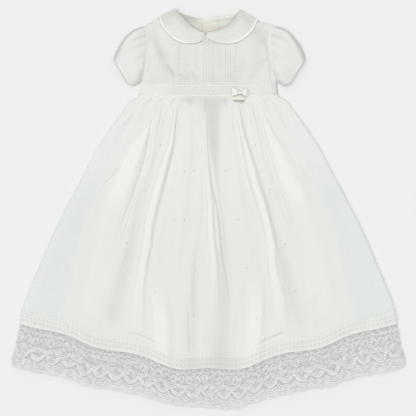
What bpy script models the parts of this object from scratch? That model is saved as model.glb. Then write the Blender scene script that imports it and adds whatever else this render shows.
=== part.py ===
"""Christening gown laid flat on its back: front facing +Z, neck towards +Y.

Every piece is a cloth wall of its own. Most walls start as a grid that is laid out in plan
from a few sections, is lifted to the height at which its underside lies, and is extruded
upwards to the cloth's thickness. The back panels lie on the floor, the lining lies on
them, and the front panels lie on the lining, one layer apart.

Sizes are in millimetres and are turned into metres where the points are made.
"""

import math

import bmesh
import bpy

MM = 0.001

# Cloth, seams and layers
CLOTH = 1.0                    # thickness of one wall of cloth
SEAM = 0.3                     # gap at a seam and between two layers
LAYER = CLOTH + SEAM           # height of one more layer
LINING_FRONT_LEVEL = 2 * LAYER
FRONT_LEVEL = 3 * LAYER        # lowest underside of the front where it covers the lining

# Heights down the gown, measured from the middle of its length
BODICE_HEM_Y = 234.0
WAIST_Y = 208.0
SKIRT_SIDE_END_Y = -190.0      # side end of the skirt, where the hem band starts
HEM_DEPTH = 21.0
LACE_TUCK = 4.0                # lace hidden under the hem band
HEM_CLOTH = 1.2

# Front of the gown above the floor
LOFT = 5.9                     # underside of the front along the gown's sides
DOME = 1.3                     # how much more it stands up in the middle of the bodice
DOME_HALF = 125.0
SIDE_FALL = 12.0               # width over which the front comes down to the back at a side
SHOULDER_FALL = 18.0           # the same at the shoulder seam
SHOULDER_FROM_Y = 325.0
SIDE_SEAM_Y = (262.0, 240.0)   # the bodice comes down at its sides from here, fully by here

# Skirt: half width at each height, from the waist seam to the hem corner
SKIRT_SIDES = (
    # height, half width
    (208.0, 129.5),
    (200.0, 144.0),
    (184.0, 156.0),
    (147.0, 183.0),
    (110.0, 207.0),
    (73.0, 226.0),
    (36.0, 246.0),
    (-38.0, 284.0),
    (-112.0, 316.0),
    (-165.0, 338.0),
    (-190.0, 346.0),
)

# Lower edge of the hem band, from the centre front outwards
HEM_EDGE = (
    # distance from centre, height
    (0.0, -292.5),
    (40.0, -295.5),
    (64.0, -293.0),
    (88.0, -283.5),
    (114.0, -273.0),
    (143.0, -264.5),
    (173.0, -261.0),
    (204.0, -255.5),
    (227.0, -247.0),
    (247.0, -236.5),
    (281.0, -226.0),
    (314.0, -219.5),
    (348.0, -210.7),
)
HEM_HALF = 347.5

# Lower edge of the lace, from the centre front outwards
LACE_EDGE = (
    # distance from centre, height
    (0.0, -363.0),
    (44.0, -364.5),
    (66.0, -360.0),
    (100.0, -349.0),
    (144.0, -338.5),
    (189.0, -329.0),
    (222.0, -324.0),
    (266.0, -309.0),
    (333.0, -297.0),
    (365.0, -290.0),
)
LACE_SIDES = (
    # share of the lace's depth, half width
    (0.0, 348.0),
    (0.35, 354.0),
    (0.6, 357.0),
    (0.85, 364.5),
    (1.0, 364.0),
)
SCALLOPS = 25                  # scallops across one side of the gown
SCALLOP_DEPTH = 2.2
SCALLOP_STEPS = 3              # columns to a scallop
LACE_DRAPE = 0.55              # how much of its height under the hem the lace loses by its edge
LACE_WAVES = 4.75              # waves across the lace
LACE_WAVE_HEIGHT = 1.6

# Lining: half width at each height; it ends above the hem band
LINING_SIDES = (
    # height, half width
    (208.0, 112.0),
    (184.0, 134.0),
    (147.0, 154.0),
    (110.0, 171.0),
    (82.0, 182.0),
    (36.0, 200.0),
    (-29.0, 233.0),
    (-75.0, 245.0),
    (-130.0, 252.0),
    (-186.0, 268.0),
)
LINING_ABOVE_BAND = 4.0
LINING_STEPS = 24

# Folds that run down the skirt. Across is -1 at the left side and 1 at the right side, and
# down is 0 at the waist and 1 at the hem band. A negative height is a crease.
SKIRT_FOLDS = (
    # across at waist, across at hem, left flank, right flank, height, starts, peaks, ends
    (-0.93, -0.95, 0.06, 0.06, 2.0, 0.05, 0.45, 1.60),
    (-0.77, -0.79, 0.04, 0.03, -2.0, 0.00, 0.20, 0.42),
    (-0.69, -0.68, 0.08, 0.10, 5.0, 0.00, 0.14, 0.52),
    (-0.62, -0.55, 0.04, 0.03, -2.4, 0.02, 0.25, 0.62),
    (-0.54, -0.50, 0.03, 0.05, -1.6, 0.04, 0.30, 0.58),
    (-0.45, -0.46, 0.03, 0.02, -2.2, 0.30, 0.48, 0.70),
    (-0.40, -0.38, 0.05, 0.04, 7.0, 0.00, 0.30, 0.80),
    (-0.33, -0.35, 0.02, 0.05, -2.2, 0.18, 0.48, 0.86),
    (-0.17, -0.22, 0.09, 0.08, 2.5, 0.05, 0.50, 1.30),
    (-0.02, 0.00, 0.05, 0.05, -2.4, 0.00, 0.08, 0.32),
    (-0.01, 0.01, 0.08, 0.03, 6.0, 0.12, 0.42, 0.95),
    (0.03, 0.09, 0.02, 0.05, -2.4, 0.10, 0.48, 0.90),
    (0.16, 0.23, 0.08, 0.09, 2.5, 0.05, 0.50, 1.30),
    (0.31, 0.34, 0.05, 0.02, -2.2, 0.16, 0.45, 0.82),
    (0.38, 0.38, 0.04, 0.05, 7.0, 0.00, 0.28, 0.78),
    (0.44, 0.46, 0.02, 0.03, -2.2, 0.28, 0.50, 0.72),
    (0.54, 0.50, 0.05, 0.03, -1.6, 0.04, 0.28, 0.56),
    (0.62, 0.56, 0.03, 0.04, -2.4, 0.02, 0.24, 0.60),
    (0.68, 0.68, 0.10, 0.08, 5.0, 0.00, 0.14, 0.50),
    (0.78, 0.79, 0.03, 0.04, -2.0, 0.00, 0.20, 0.42),
    (0.93, 0.95, 0.06, 0.06, 2.0, 0.05, 0.45, 1.60),
    (-0.46, -0.47, 0.10, 0.10, -1.8, 0.68, 0.85, 1.10),
    (0.46, 0.47, 0.10, 0.10, -1.8, 0.68, 0.85, 1.10),
    (-0.36, -0.33, 0.06, 0.08, 3.5, 0.86, 1.04, 1.90),
    (0.33, 0.33, 0.08, 0.06, 3.5, 0.86, 1.04, 1.90),
    (-0.66, -0.64, 0.07, 0.07, 3.0, 0.80, 1.04, 1.90),
    (0.64, 0.64, 0.07, 0.07, 3.0, 0.80, 1.04, 1.90),
)
GATHERS = 14                   # gathers across the front at the waist seam
GATHER_HEIGHT = 1.5
GATHER_LENGTH = 0.11           # share of the skirt over which they fade
SKIRT_STEPS = 54               # columns between the two edge columns at each side
SKIRT_EDGE_SHARES = (0.95, 0.975, 1.0)
SKIRT_TOP_ROWS = (0.0, 0.03, 0.07, 0.12)
SKIRT_ROWS = 12

# Bodice outline: the left and right halves differ a little in how they lie
SHOULDERS = (
    # left distance, left height, right distance, right height, from neck to armhole
    (59.0, 365.0, 58.0, 365.0),
    (92.0, 352.5, 92.0, 347.0),
    (114.0, 341.0, 119.0, 341.0),
)
ARMHOLES = (
    # height, left distance, right distance
    (341.0, 114.0, 119.0),
    (318.0, 111.0, 111.5),
    (298.0, 112.5, 112.0),
    (260.0, 119.5, 118.5),
    (234.0, 126.0, 126.0),
)
# Rows of the bodice's grids, at the armhole edge and at the neck point beside the collar
ARMHOLE_ROWS = (341.0, 325.0, 309.0, 301.0, 279.0, 257.0, 234.3)
NECK_ROWS = (365.0, 337.0, 309.0, 301.0, 279.0, 257.0, 234.3)
FIRST_TUCKED_ROW = 3           # the tucks stand full from this row down
FRONT_NECK = (
    # distance across, height
    (-59.0, 365.0),
    (-45.5, 351.0),
    (-31.6, 336.8),
    (-19.0, 327.7),
    (-3.0, 321.0),
    (14.0, 327.0),
    (28.0, 333.0),
    (43.5, 344.8),
    (52.0, 356.0),
    (58.0, 365.0),
)
BACK_NECK = (
    # distance across, height
    (-59.0, 365.0),
    (-45.0, 355.5),
    (-30.0, 350.0),
    (-10.0, 346.5),
    (13.0, 350.0),
    (28.0, 353.5),
    (42.0, 357.0),
    (58.0, 365.0),
)

# Pintucks and the corded edges of the two hemstitched columns
TUCKS = (
    # distance across, height, half width
    (-60.0, 0.6, 1.6),
    (-46.0, 0.6, 1.6),
    (-43.2, 1.1, 1.3),
    (-38.7, 1.1, 1.3),
    (-34.2, 1.1, 1.3),
    (-9.2, 1.1, 1.3),
    (-4.6, 1.1, 1.3),
    (0.0, 1.1, 1.3),
    (4.6, 1.1, 1.3),
    (9.2, 1.1, 1.3),
    (31.2, 1.1, 1.3),
    (35.7, 1.1, 1.3),
    (40.2, 1.1, 1.3),
    (44.6, 0.6, 1.6),
    (56.0, 0.6, 1.6),
)

# Soft folds of the bodice, each a straight line across the panel
BODICE_FOLDS = (
    # from x, from y, to x, to y, half width, height
    (-104.0, 332.0, -70.0, 240.0, 13.0, -1.9),
    (-112.0, 326.0, -121.0, 262.0, 9.0, 2.2),
    (112.0, 322.0, 119.0, 262.0, 6.0, 2.4),
    (103.0, 318.0, 107.0, 252.0, 6.0, -1.8),
    (86.0, 300.0, 70.0, 244.0, 12.0, 1.2),
    (-84.0, 318.0, -84.0, 290.0, 10.0, 1.0),
)

# Columns of the bodice: between the tucks, and shares of the way from neck to armhole
FRONT_COLUMNS = (-52.9, -28.0, -21.5, -15.0, 15.0, 20.5, 26.0, 50.3)
FRONT_SHARES = (0.16, 0.36, 0.55, 0.74, 0.88, 1.0)
BACK_SHARES = (0.25, 0.5, 0.74, 0.88, 1.0)

# Centre-back opening: the right half lies on the left one, and both lie over the buttons
BACK_LEFT_COLUMNS = (-59.0, -45.0, -34.0, -26.0, -21.0, -16.5, -12.0, -5.0, 8.0)
BACK_RIGHT_COLUMNS = (-12.0, 2.0, 12.0, 17.0, 22.0, 28.0, 36.0, 46.0, 58.0)
PLACKET_LIFT = 1.9             # underside of the left half over the buttons
PLACKET_LEFT_RISE = (-26.0, -12.0)
PLACKET_RIGHT_FALL = (12.0, 28.0)
BUTTON_RADIUS = 5.0
BUTTON_THICKNESS = 1.6
BUTTON_BEVEL = 0.4
BUTTON_SIDES = 14
BUTTON_X = -2.0
BUTTONS = (
    # name, height down the gown
    ("button_top", 332.0),
    ("button_middle", 294.0),
    ("button_bottom", 256.0),
)

# Collar halves: inner edge at the neck and outer edge, from the centre front to the
# shoulder, then from the shoulder to the centre back
COLLAR_FRONT = {
    "collar_left": {
        "inner": ((-7.5, 325.0), (-19.0, 330.2), (-31.6, 339.3), (-45.5, 353.4), (-61.0, 371.0)),
        "outer": ((-5.6, 320.5), (-8.5, 315.0), (-17.8, 308.0), (-30.3, 305.5), (-45.5, 306.8),
                  (-61.0, 314.0), (-77.0, 329.5), (-88.0, 345.5), (-92.5, 357.0)),
    },
    "collar_right": {
        "inner": ((-3.2, 325.6), (14.2, 329.7), (28.1, 336.0), (43.5, 347.8), (51.8, 358.9),
                  (59.6, 369.3)),
        "outer": ((-4.4, 320.0), (3.1, 312.8), (14.2, 307.6), (28.1, 305.5), (42.2, 306.0),
                  (56.0, 311.5), (65.7, 318.4), (79.7, 331.0), (92.3, 350.6)),
    },
}
COLLAR_BACK = {
    "collar_left": {
        "inner": ((-61.0, 371.0), (-45.5, 357.4), (-30.3, 351.9), (-10.0, 348.2)),
        "outer": ((-92.5, 357.0), (-82.0, 335.0), (-62.0, 318.0), (-38.0, 312.0), (-10.0, 313.0)),
    },
    "collar_right": {
        "inner": ((59.6, 369.3), (45.0, 359.3), (28.1, 355.4), (7.0, 351.2)),
        "outer": ((92.3, 350.6), (82.0, 333.0), (62.0, 318.0), (38.0, 312.0), (7.0, 313.0)),
    },
}
COLLAR_ROWS = (
    # share of the leaf's width, relief of the piped rim
    (0.0, 0.0),
    (0.35, 0.0),
    (0.7, 0.0),
    (0.86, 0.0),
    (0.94, 0.7),
    (1.0, 0.1),
)
COLLAR_CLEARANCE = 0.8         # collar leaf above the bodice
COLLAR_FRONT_STEPS = 11
COLLAR_TURN_STEPS = 4          # round the shoulder
COLLAR_BACK_STEPS = 8
COLLAR_LIFT_Y = (290.0, 306.0)     # the back panels rise over the collar's back leaves
COLLAR_LIFT_X = (97.0, 109.0)      # and come down again beside them

# Sleeves: the outline of each cap and of its hem, as they lie
SLEEVES = {
    "left": {
        "side": -1,
        "cap": ((-114.3, 341.0), (-138.0, 332.0), (-155.0, 317.5), (-168.0, 297.0),
                (-175.5, 280.0)),
        "hem": ((-175.5, 280.0), (-162.5, 257.5), (-147.5, 233.0), (-141.0, 230.0),
                (-135.0, 230.0)),
    },
    "right": {
        "side": 1,
        "cap": ((119.3, 341.0), (146.0, 331.0), (165.5, 309.0), (174.0, 294.5), (179.5, 280.0)),
        "hem": ((179.5, 280.0), (165.5, 257.5), (149.5, 233.0), (143.0, 230.0), (136.0, 230.0)),
    },
}
SLEEVE_EDGE = 2.6              # height of the folded edge of a sleeve
SLEEVE_PUFF = 3.6              # how far the sleeve's crown stands up above its edges
PUFF_PEAK = 0.42               # share of the sleeve's length where it stands highest
PUFF_REACH = 0.75
SLEEVE_ROUND = 0.12            # share of its width over which each folded edge rounds off
SLEEVE_FOLD = 1.3              # how far the walls keep from the folded edge
HEM_RISE = 0.6                 # height of the sleeve's front above its edge at the hem
SLEEVE_GATHERS = 5
SLEEVE_GATHER_HEIGHT = 0.7
SLEEVE_GATHER_AT = 0.12
SLEEVE_GATHER_REACH = 0.3
SLEEVE_GATHER_END = (0.45, 0.6)    # they fade out on the way down to the underarm
SLEEVE_STEPS = (2, 3, 1, 3, 3, 3)  # steps round the sleeve between the armhole's rows
SLEEVE_RINGS = (0.0, 0.09, 0.24, 0.44, 0.66, 0.86, 1.0)
CUFF_WIDTH = 5.0
CUFF_RISE = 0.3                # the binding stands up this much more than the sleeve
CUFF_STEPS = (1.0, 0.0)
SHORTEST_SLEEVE = 8.0
CUFF_GAP = 0.8                 # gap between the binding and the sleeve, along the sleeve
UNDERARM_Y = 238.0

# Waistband: rows across its depth, each with the height of its relief
WAISTBAND_ROWS = (
    # share of the depth, relief
    (0.0, 0.9),
    (0.16, 0.1),
    (0.45, 0.5),
    (0.80, 0.1),
    (0.90, 1.1),
    (1.0, 0.9),
)
WAISTBAND_SIDE = 127.5
WAISTBAND_STEPS = 20
WAISTBAND_EDGE_SHARES = (0.9, 0.96, 1.0)

# Hem band: two rows of ladder stitches between three cords
HEM_ROWS = (
    # share of the depth, relief
    (0.0, 0.4),
    (0.25, 0.0),
    (0.50, 0.5),
    (0.75, 0.0),
    (1.0, 0.6),
)

# Bow and charm on the waistband
BOW_X = 57.5
BOW_Y = 214.5
BOW_LENGTH = 14.5
BOW_HALF_HEIGHT = 7.3
BOW_CLEARANCE = 0.7
BOW_WALL = 0.8
BOW_FOLD = 2.1                 # radius of the ribbon's fold at the end of a loop
BOW_WAIST = 2.2                # half height of a loop at the knot
BOW_SWEEP = 1.5                # how much a loop rises towards its end
KNOT_HALF = (3.2, 3.0, 2.4)
CHARM_CENTRE = (56.0, 203.6)
CHARM_HALF = (11.0, 7.0)
CHARM_CLEARANCE = 0.2
CHARM_THICKNESS = 1.2
CHARM_STEPS = (
    # inset of the next edge, rise to it
    (1.2, 0.1),
    (0.9, 0.7),
    (2.8, 0.6),
)

# Colours
WHITE_VOILE = (0.80, 0.83, 0.79, 1.0)
WHITE_BATISTE = (0.83, 0.85, 0.80, 1.0)
WHITE_LACE = (0.72, 0.75, 0.72, 1.0)
WHITE_SATIN = (0.88, 0.88, 0.85, 1.0)
SHELL_BUTTON = (0.85, 0.84, 0.79, 1.0)
CHAMPAGNE = (0.66, 0.60, 0.50, 1.0)


# ---------------------------------------------------------------- curves and ramps


def lerp(start, end, share):
    return start + (end - start) * share


def ramp(start, end, value):
    """Smooth step from 0 at start to 1 at end."""
    share = min(1.0, max(0.0, (value - start) / (end - start)))
    return share * share * (3.0 - 2.0 * share)


def bell(distance, half_width):
    """1 at the middle, 0 from half_width on, with soft feet."""
    if abs(distance) >= half_width:
        return 0.0
    return 0.5 + 0.5 * math.cos(math.pi * distance / half_width)


def through(rows, key, column=1):
    """Smooth curve through the rows: the column's value where the first column is key."""
    if rows[0][0] > rows[-1][0]:
        rows = rows[::-1]
    last = len(rows) - 1
    key = min(max(key, rows[0][0]), rows[-1][0])
    index = next(i for i in range(last) if key <= rows[i + 1][0])

    def slope(i):
        before, after = max(0, i - 1), min(last, i + 1)
        return (rows[after][column] - rows[before][column]) / (rows[after][0] - rows[before][0])

    x0, x1 = rows[index][0], rows[index + 1][0]
    span = x1 - x0
    t = (key - x0) / span
    start, end = rows[index][column], rows[index + 1][column]
    return (
        start * (2 * t**3 - 3 * t**2 + 1)
        + end * (3 * t**2 - 2 * t**3)
        + slope(index) * span * (t**3 - 2 * t**2 + t)
        + slope(index + 1) * span * (t**3 - t**2)
    )


def along(points, share):
    """Point at a share of the length of a smooth curve through the points."""
    lengths = [0.0]
    for first, second in zip(points, points[1:]):
        lengths.append(lengths[-1] + math.dist(first, second))
    rows = [(length, *point) for length, point in zip(lengths, points)]
    place = share * lengths[-1]
    return through(rows, place, 1), through(rows, place, 2)


def steps(count, start=0.0, end=1.0):
    return [lerp(start, end, i / count) for i in range(count + 1)]


def with_edges(count, edge_shares):
    """Even steps from side to side, with extra columns at the shares near each edge."""
    outer = [-share for share in reversed(edge_shares[1:])]
    return outer + steps(count, -edge_shares[0], edge_shares[0]) + list(edge_shares[1:])


# ---------------------------------------------------------------- solids


def material(name, colour, roughness, metallic=0.0):
    mat = bpy.data.materials.new(name)
    mat.use_nodes = True
    shader = mat.node_tree.nodes["Principled BSDF"]
    shader.inputs["Base Color"].default_value = colour
    shader.inputs["Roughness"].default_value = roughness
    shader.inputs["Metallic"].default_value = metallic
    return mat


def finish_sheet(name, bm, mat):
    """Put the mesh in the scene as one object."""
    mesh = bpy.data.meshes.new(name)
    bm.to_mesh(mesh)
    bm.free()
    mesh.shade_smooth()
    mesh.set_sharp_from_angle(angle=math.radians(40.0))
    mesh.materials.append(mat)
    obj = bpy.data.objects.new(name, mesh)
    bpy.context.scene.collection.objects.link(obj)
    return obj


def finish(name, bm, mat):
    """Turn a closed mesh outwards and put it in the scene."""
    bmesh.ops.recalc_face_normals(bm, faces=bm.faces[:])
    return finish_sheet(name, bm, mat)


def cloth_wall(name, columns, rows, place, mat, thickness=CLOTH, relief=None):
    """Closed wall of cloth over a grid.

    place(column, row) gives x, y and the height of the underside; relief(column, row) is
    what the upper side stands up above the plain thickness.
    """
    bm = bmesh.new()
    across, down = len(columns) - 1, len(rows) - 1
    bmesh.ops.create_grid(bm, x_segments=across, y_segments=down, size=0.5)
    column_of = bm.verts.layers.int.new("column")
    row_of = bm.verts.layers.int.new("row")
    for vert in bm.verts:
        vert[column_of] = round((vert.co.x + 0.5) * across)
        vert[row_of] = round((0.5 - vert.co.y) * down)
        x, y, z = place(columns[vert[column_of]], rows[vert[row_of]])
        vert.co = (x * MM, y * MM, z * MM)
    raised = bmesh.ops.extrude_face_region(bm, geom=bm.faces[:])["geom"]
    for vert in raised:
        if isinstance(vert, bmesh.types.BMVert):
            extra = relief(columns[vert[column_of]], rows[vert[row_of]]) if relief else 0.0
            vert.co.z += (thickness + extra) * MM
    return finish(name, bm, mat)


def flat_wall(name, across, plan, level, mat):
    """Closed flat wall whose outline is the edge of the plan, at its level above the floor."""
    down = [0.02, 0.06, 0.12, 0.25, 0.5, 0.75]
    outline = [plan(u, 0.0) for u in (-1.0, 1.0)]
    outline += [plan(1.0, v) for v in down]
    outline += [plan(u, 1.0) for u in reversed(across)]
    outline += [plan(-1.0, v) for v in reversed(down)]
    bm = bmesh.new()
    face = bm.faces.new([bm.verts.new((x * MM, y * MM, level * MM)) for x, y in outline])
    raised = bmesh.ops.extrude_face_region(bm, geom=[face])["geom"]
    upper = [item for item in raised if isinstance(item, bmesh.types.BMVert)]
    bmesh.ops.translate(bm, verts=upper, vec=(0.0, 0.0, CLOTH * MM))
    bmesh.ops.triangulate(bm, faces=[item for item in bm.faces if len(item.verts) > 4])
    return finish(name, bm, mat)


def tube_wall(name, rings, mat):
    """Closed wall round a flattened tube; each ring is an outer and an inner loop."""
    bm = bmesh.new()
    loops = []
    for ring in rings:
        loops.append([
            [bm.verts.new((x * MM, y * MM, z * MM)) for x, y, z in loop] for loop in ring
        ])

    def join(first, second):
        count = len(first)
        for k in range(count):
            after = (k + 1) % count
            bm.faces.new((first[k], first[after], second[after], second[k]))

    for here, beyond in zip(loops, loops[1:]):
        join(here[0], beyond[0])
        join(beyond[1], here[1])
    join(loops[0][1], loops[0][0])
    join(loops[-1][0], loops[-1][1])
    return finish(name, bm, mat)


# ---------------------------------------------------------------- lie of the cloth


def side_distance(x, y):
    """Distance from the armhole edge inwards, on the side that x is on."""
    column = 1 if x < 0 else 2
    return through(ARMHOLES, y, column) - abs(x)


def shoulder_height(x):
    """Height of the shoulder line at x."""
    if x < 0:
        return through([(row[0], row[1]) for row in SHOULDERS], -x)
    return through([(row[2], row[3]) for row in SHOULDERS], x)


def line_distance(x, y, fold):
    """Distance from a fold's line, and how far along the line the nearest point is."""
    x0, y0, x1, y1 = fold[:4]
    length = math.hypot(x1 - x0, y1 - y0)
    forward = ((x - x0) * (x1 - x0) + (y - y0) * (y1 - y0)) / length**2
    aside = ((x - x0) * (y1 - y0) - (y - y0) * (x1 - x0)) / length
    return aside, forward


def bodice_height(x, y):
    """Underside of the bodice's and the waistband's front above the floor."""
    height = LOFT + DOME * bell(x, DOME_HALF)
    for fold in BODICE_FOLDS:
        aside, forward = line_distance(x, y, fold)
        strength = ramp(-0.25, 0.15, forward) * (1.0 - ramp(0.85, 1.25, forward))
        height += fold[5] * strength * bell(aside, fold[4])
    shoulder = ramp(-1.0, SHOULDER_FALL, shoulder_height(x) - y)
    height = lerp(2 * LAYER, height, shoulder) if y > SHOULDER_FROM_Y else height
    low_side = ramp(*SIDE_SEAM_Y, y) * (1.0 - ramp(0.0, SIDE_FALL, side_distance(x, y)))
    return lerp(height, LAYER, low_side)


def skirt_height(across, down):
    """Underside of the skirt's front above the floor."""
    half = through(SKIRT_SIDES, lerp(WAIST_Y, SKIRT_SIDE_END_Y, min(down, 1.0)))
    x = across * half
    plain = LOFT - FRONT_LEVEL + DOME * bell(x, DOME_HALF) * (1.0 - ramp(0.0, 0.15, down))
    folds = 0.0
    for top, low, left, right, height, starts, peaks, ends in SKIRT_FOLDS:
        aside = across - lerp(top, low, down)
        strength = ramp(starts, peaks, down) if down < peaks else 1.0 - ramp(peaks, ends, down)
        folds += height * strength * bell(aside, left if aside < 0.0 else right)
    gather = math.sin(math.pi * (across + 1.0) * GATHERS) * GATHER_HEIGHT
    folds += gather * math.exp(-down / GATHER_LENGTH)
    height = FRONT_LEVEL + max(0.0, plain + folds)
    edge = lerp(LAYER, 2 * LAYER + SEAM, ramp(0.5, 1.0, down))
    return lerp(edge, height, ramp(0.0, SIDE_FALL, (1.0 - abs(across)) * half))


def collar_lift(x, y):
    """How much the back panels rise over the collar's back leaves."""
    return LAYER * ramp(*COLLAR_LIFT_Y, y) * (1.0 - ramp(*COLLAR_LIFT_X, abs(x)))


# ---------------------------------------------------------------- skirt, lining, hem and lace


def hem_edge(x):
    return through(HEM_EDGE, abs(x))


def skirt_plan(across, down):
    """Plan of the skirt: across from side to side, down from the waist to the hem band."""
    half = through(SKIRT_SIDES, lerp(WAIST_Y, SKIRT_SIDE_END_Y, down))
    top = WAIST_Y - SEAM
    low = hem_edge(across * HEM_HALF) + HEM_DEPTH + SEAM
    return across * half, lerp(top, low, down)


def lining_plan(across, down):
    top, end = LINING_SIDES[0], LINING_SIDES[-1]
    half = through(LINING_SIDES, lerp(top[0], end[0], down))
    low = hem_edge(across * end[1]) + HEM_DEPTH + LINING_ABOVE_BAND
    return across * half, lerp(WAIST_Y - SEAM, low, down)


def hem_plan(across, down):
    x = across * lerp(SKIRT_SIDES[-1][1], HEM_HALF, down)
    return x, hem_edge(across * HEM_HALF) + lerp(HEM_DEPTH, 0.0, down)


def lace_plan(across, down, tucked):
    """Plan of the lace; its upper edge reaches under the hem band by the tucked amount."""
    x = across * through(LACE_SIDES, down)
    top = hem_edge(across * HEM_HALF) + tucked
    wave = abs(math.sin(math.pi * SCALLOPS * (across + 1.0) / 2.0))
    low = through(LACE_EDGE, abs(across) * LACE_EDGE[-1][0]) + SCALLOP_DEPTH * (0.5 - wave)
    return x, lerp(top, low, down)


def lace_height(across, down):
    """Underside of the front lace: under the hem band at its top, relaxed at its edge."""
    held = max(0.0, skirt_height(across, 1.0) - 2 * LAYER - 4 * SEAM)
    wave = 0.5 + 0.5 * math.sin(2.0 * math.pi * LACE_WAVES * across + 0.6)
    free = LACE_WAVE_HEIGHT * wave * ramp(0.15, 0.9, down) * ramp(1.0, 0.94, abs(across))
    return LAYER + held * (1.0 - LACE_DRAPE * ramp(0.1, 0.9, down)) + free


def make_skirt(voile, batiste, lace):
    """Front and back skirt and lining, the hem band and the lace edging."""
    across = with_edges(SKIRT_STEPS, SKIRT_EDGE_SHARES)
    down = [*SKIRT_TOP_ROWS, *steps(SKIRT_ROWS, 0.18, 1.0)]
    scalloped = steps(SCALLOPS * SCALLOP_STEPS, -1.0, 1.0)
    lining = steps(LINING_STEPS, -1.0, 1.0)

    cloth_wall("skirt_front", across, down,
               lambda u, v: (*skirt_plan(u, v), skirt_height(u, v)), voile)
    flat_wall("skirt_back", scalloped, skirt_plan, 0.0, voile)
    flat_wall("lining_front", lining, lining_plan, LINING_FRONT_LEVEL, batiste)
    flat_wall("lining_back", lining, lining_plan, LAYER, batiste)
    relief = dict(HEM_ROWS)
    cloth_wall("hem_band_front", across, list(relief),
               lambda u, v: (*hem_plan(u, v), skirt_height(u, 1.0)), voile,
               thickness=HEM_CLOTH, relief=lambda u, v: relief[v])
    cloth_wall("hem_band_back", scalloped, steps(1),
               lambda u, v: (*hem_plan(u, v), 0.0), voile)
    cloth_wall("lace_front", scalloped, [0.0, 0.06, 0.5, 1.0],
               lambda u, v: (*lace_plan(u, v, LACE_TUCK), lace_height(u, v)), lace)
    cloth_wall("lace_back", scalloped, steps(1),
               lambda u, v: (*lace_plan(u, v, -SEAM), 0.0), lace)


# ---------------------------------------------------------------- bodice and waistband


def armhole_distance(row, side):
    """Distance from the centre to the armhole edge at a row of the bodice's grids."""
    return through(ARMHOLES, ARMHOLE_ROWS[row], 1 if side < 0 else 2)


def bodice_plan(column, row, neck):
    """Plan of a point of the bodice's grids.

    A column is ("middle", x) below the neck's edge, or ("outer", share) beside it, where
    the share runs from 0 at the neck point to 1 at the armhole and is negative on the left.
    """
    part, value = column
    if part == "middle":
        top = through(neck, value)
        heights = (top, lerp(top, NECK_ROWS[2], 0.5), *NECK_ROWS[2:])
        return value, heights[row]
    side = math.copysign(1.0, value)
    share = abs(value)
    neck_x = SHOULDERS[0][0 if side < 0 else 2]
    x = side * lerp(neck_x, armhole_distance(row, side), share)
    y = shoulder_height(x) if row == 0 else lerp(NECK_ROWS[row], ARMHOLE_ROWS[row], share)
    return x, y


def make_bodice_front(voile):
    """Front panel: columns at each tuck's crest and feet, so that the tucks run straight."""
    crests = {x: height for x, height, _ in TUCKS}
    middle = list(FRONT_COLUMNS)
    for x, _, half in TUCKS:
        middle += [x - half, x, x + half]
    neck_left, neck_right = -SHOULDERS[0][0], SHOULDERS[0][2]
    middle = sorted(x for x in middle if neck_left < x < neck_right)
    columns = [("outer", -share) for share in reversed(FRONT_SHARES)]
    columns += [("middle", x) for x in middle]
    columns += [("outer", share) for share in FRONT_SHARES]

    def place(column, row):
        x, y = bodice_plan(column, row, FRONT_NECK)
        return x, y, bodice_height(x, y)

    def relief(column, row):
        if column[0] == "middle" and row >= FIRST_TUCKED_ROW:
            return crests.get(column[1], 0.0)
        return 0.0

    rows = list(range(len(ARMHOLE_ROWS)))
    cloth_wall("bodice_front", columns, rows, place, voile, relief=relief)


def make_bodice_back(voile):
    """Two back halves; the right one lies on the left one at the centre back."""
    rows = list(range(len(ARMHOLE_ROWS)))

    def left_height(x, y):
        return max(PLACKET_LIFT * ramp(*PLACKET_LEFT_RISE, x), collar_lift(x, y))

    def right_height(x, y):
        placket = (PLACKET_LIFT + LAYER) * (1.0 - ramp(*PLACKET_RIGHT_FALL, x))
        return max(placket, collar_lift(x, y))

    def half(name, columns, height):
        def place(column, row):
            x, y = bodice_plan(column, row, BACK_NECK)
            return x, y, height(x, y)

        cloth_wall(name, columns, rows, place, voile)

    left = [("outer", -share) for share in reversed(BACK_SHARES)]
    left += [("middle", x) for x in BACK_LEFT_COLUMNS]
    right = [("middle", x) for x in BACK_RIGHT_COLUMNS]
    right += [("outer", share) for share in BACK_SHARES]
    half("bodice_back_left", left, left_height)
    half("bodice_back_right", right, right_height)


def make_waistband(voile):
    relief = dict(WAISTBAND_ROWS)
    across = with_edges(WAISTBAND_STEPS, WAISTBAND_EDGE_SHARES)

    def plan(u, v):
        x = u * lerp(ARMHOLES[-1][1], SKIRT_SIDES[0][1], v)
        return x, lerp(BODICE_HEM_Y, WAIST_Y, v)

    def height(u):
        x = u * WAISTBAND_SIDE
        loft = LOFT + DOME * bell(x, DOME_HALF)
        return lerp(LAYER, loft, ramp(0.0, SIDE_FALL, (1.0 - abs(u)) * WAISTBAND_SIDE))

    cloth_wall("waistband_front", across, list(relief),
               lambda u, v: (*plan(u, v), height(u)), voile, relief=lambda u, v: relief[v])
    cloth_wall("waistband_back", steps(2, -1.0, 1.0), steps(1),
               lambda u, v: (*plan(u, v), 0.0), voile)


# ---------------------------------------------------------------- collar


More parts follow.
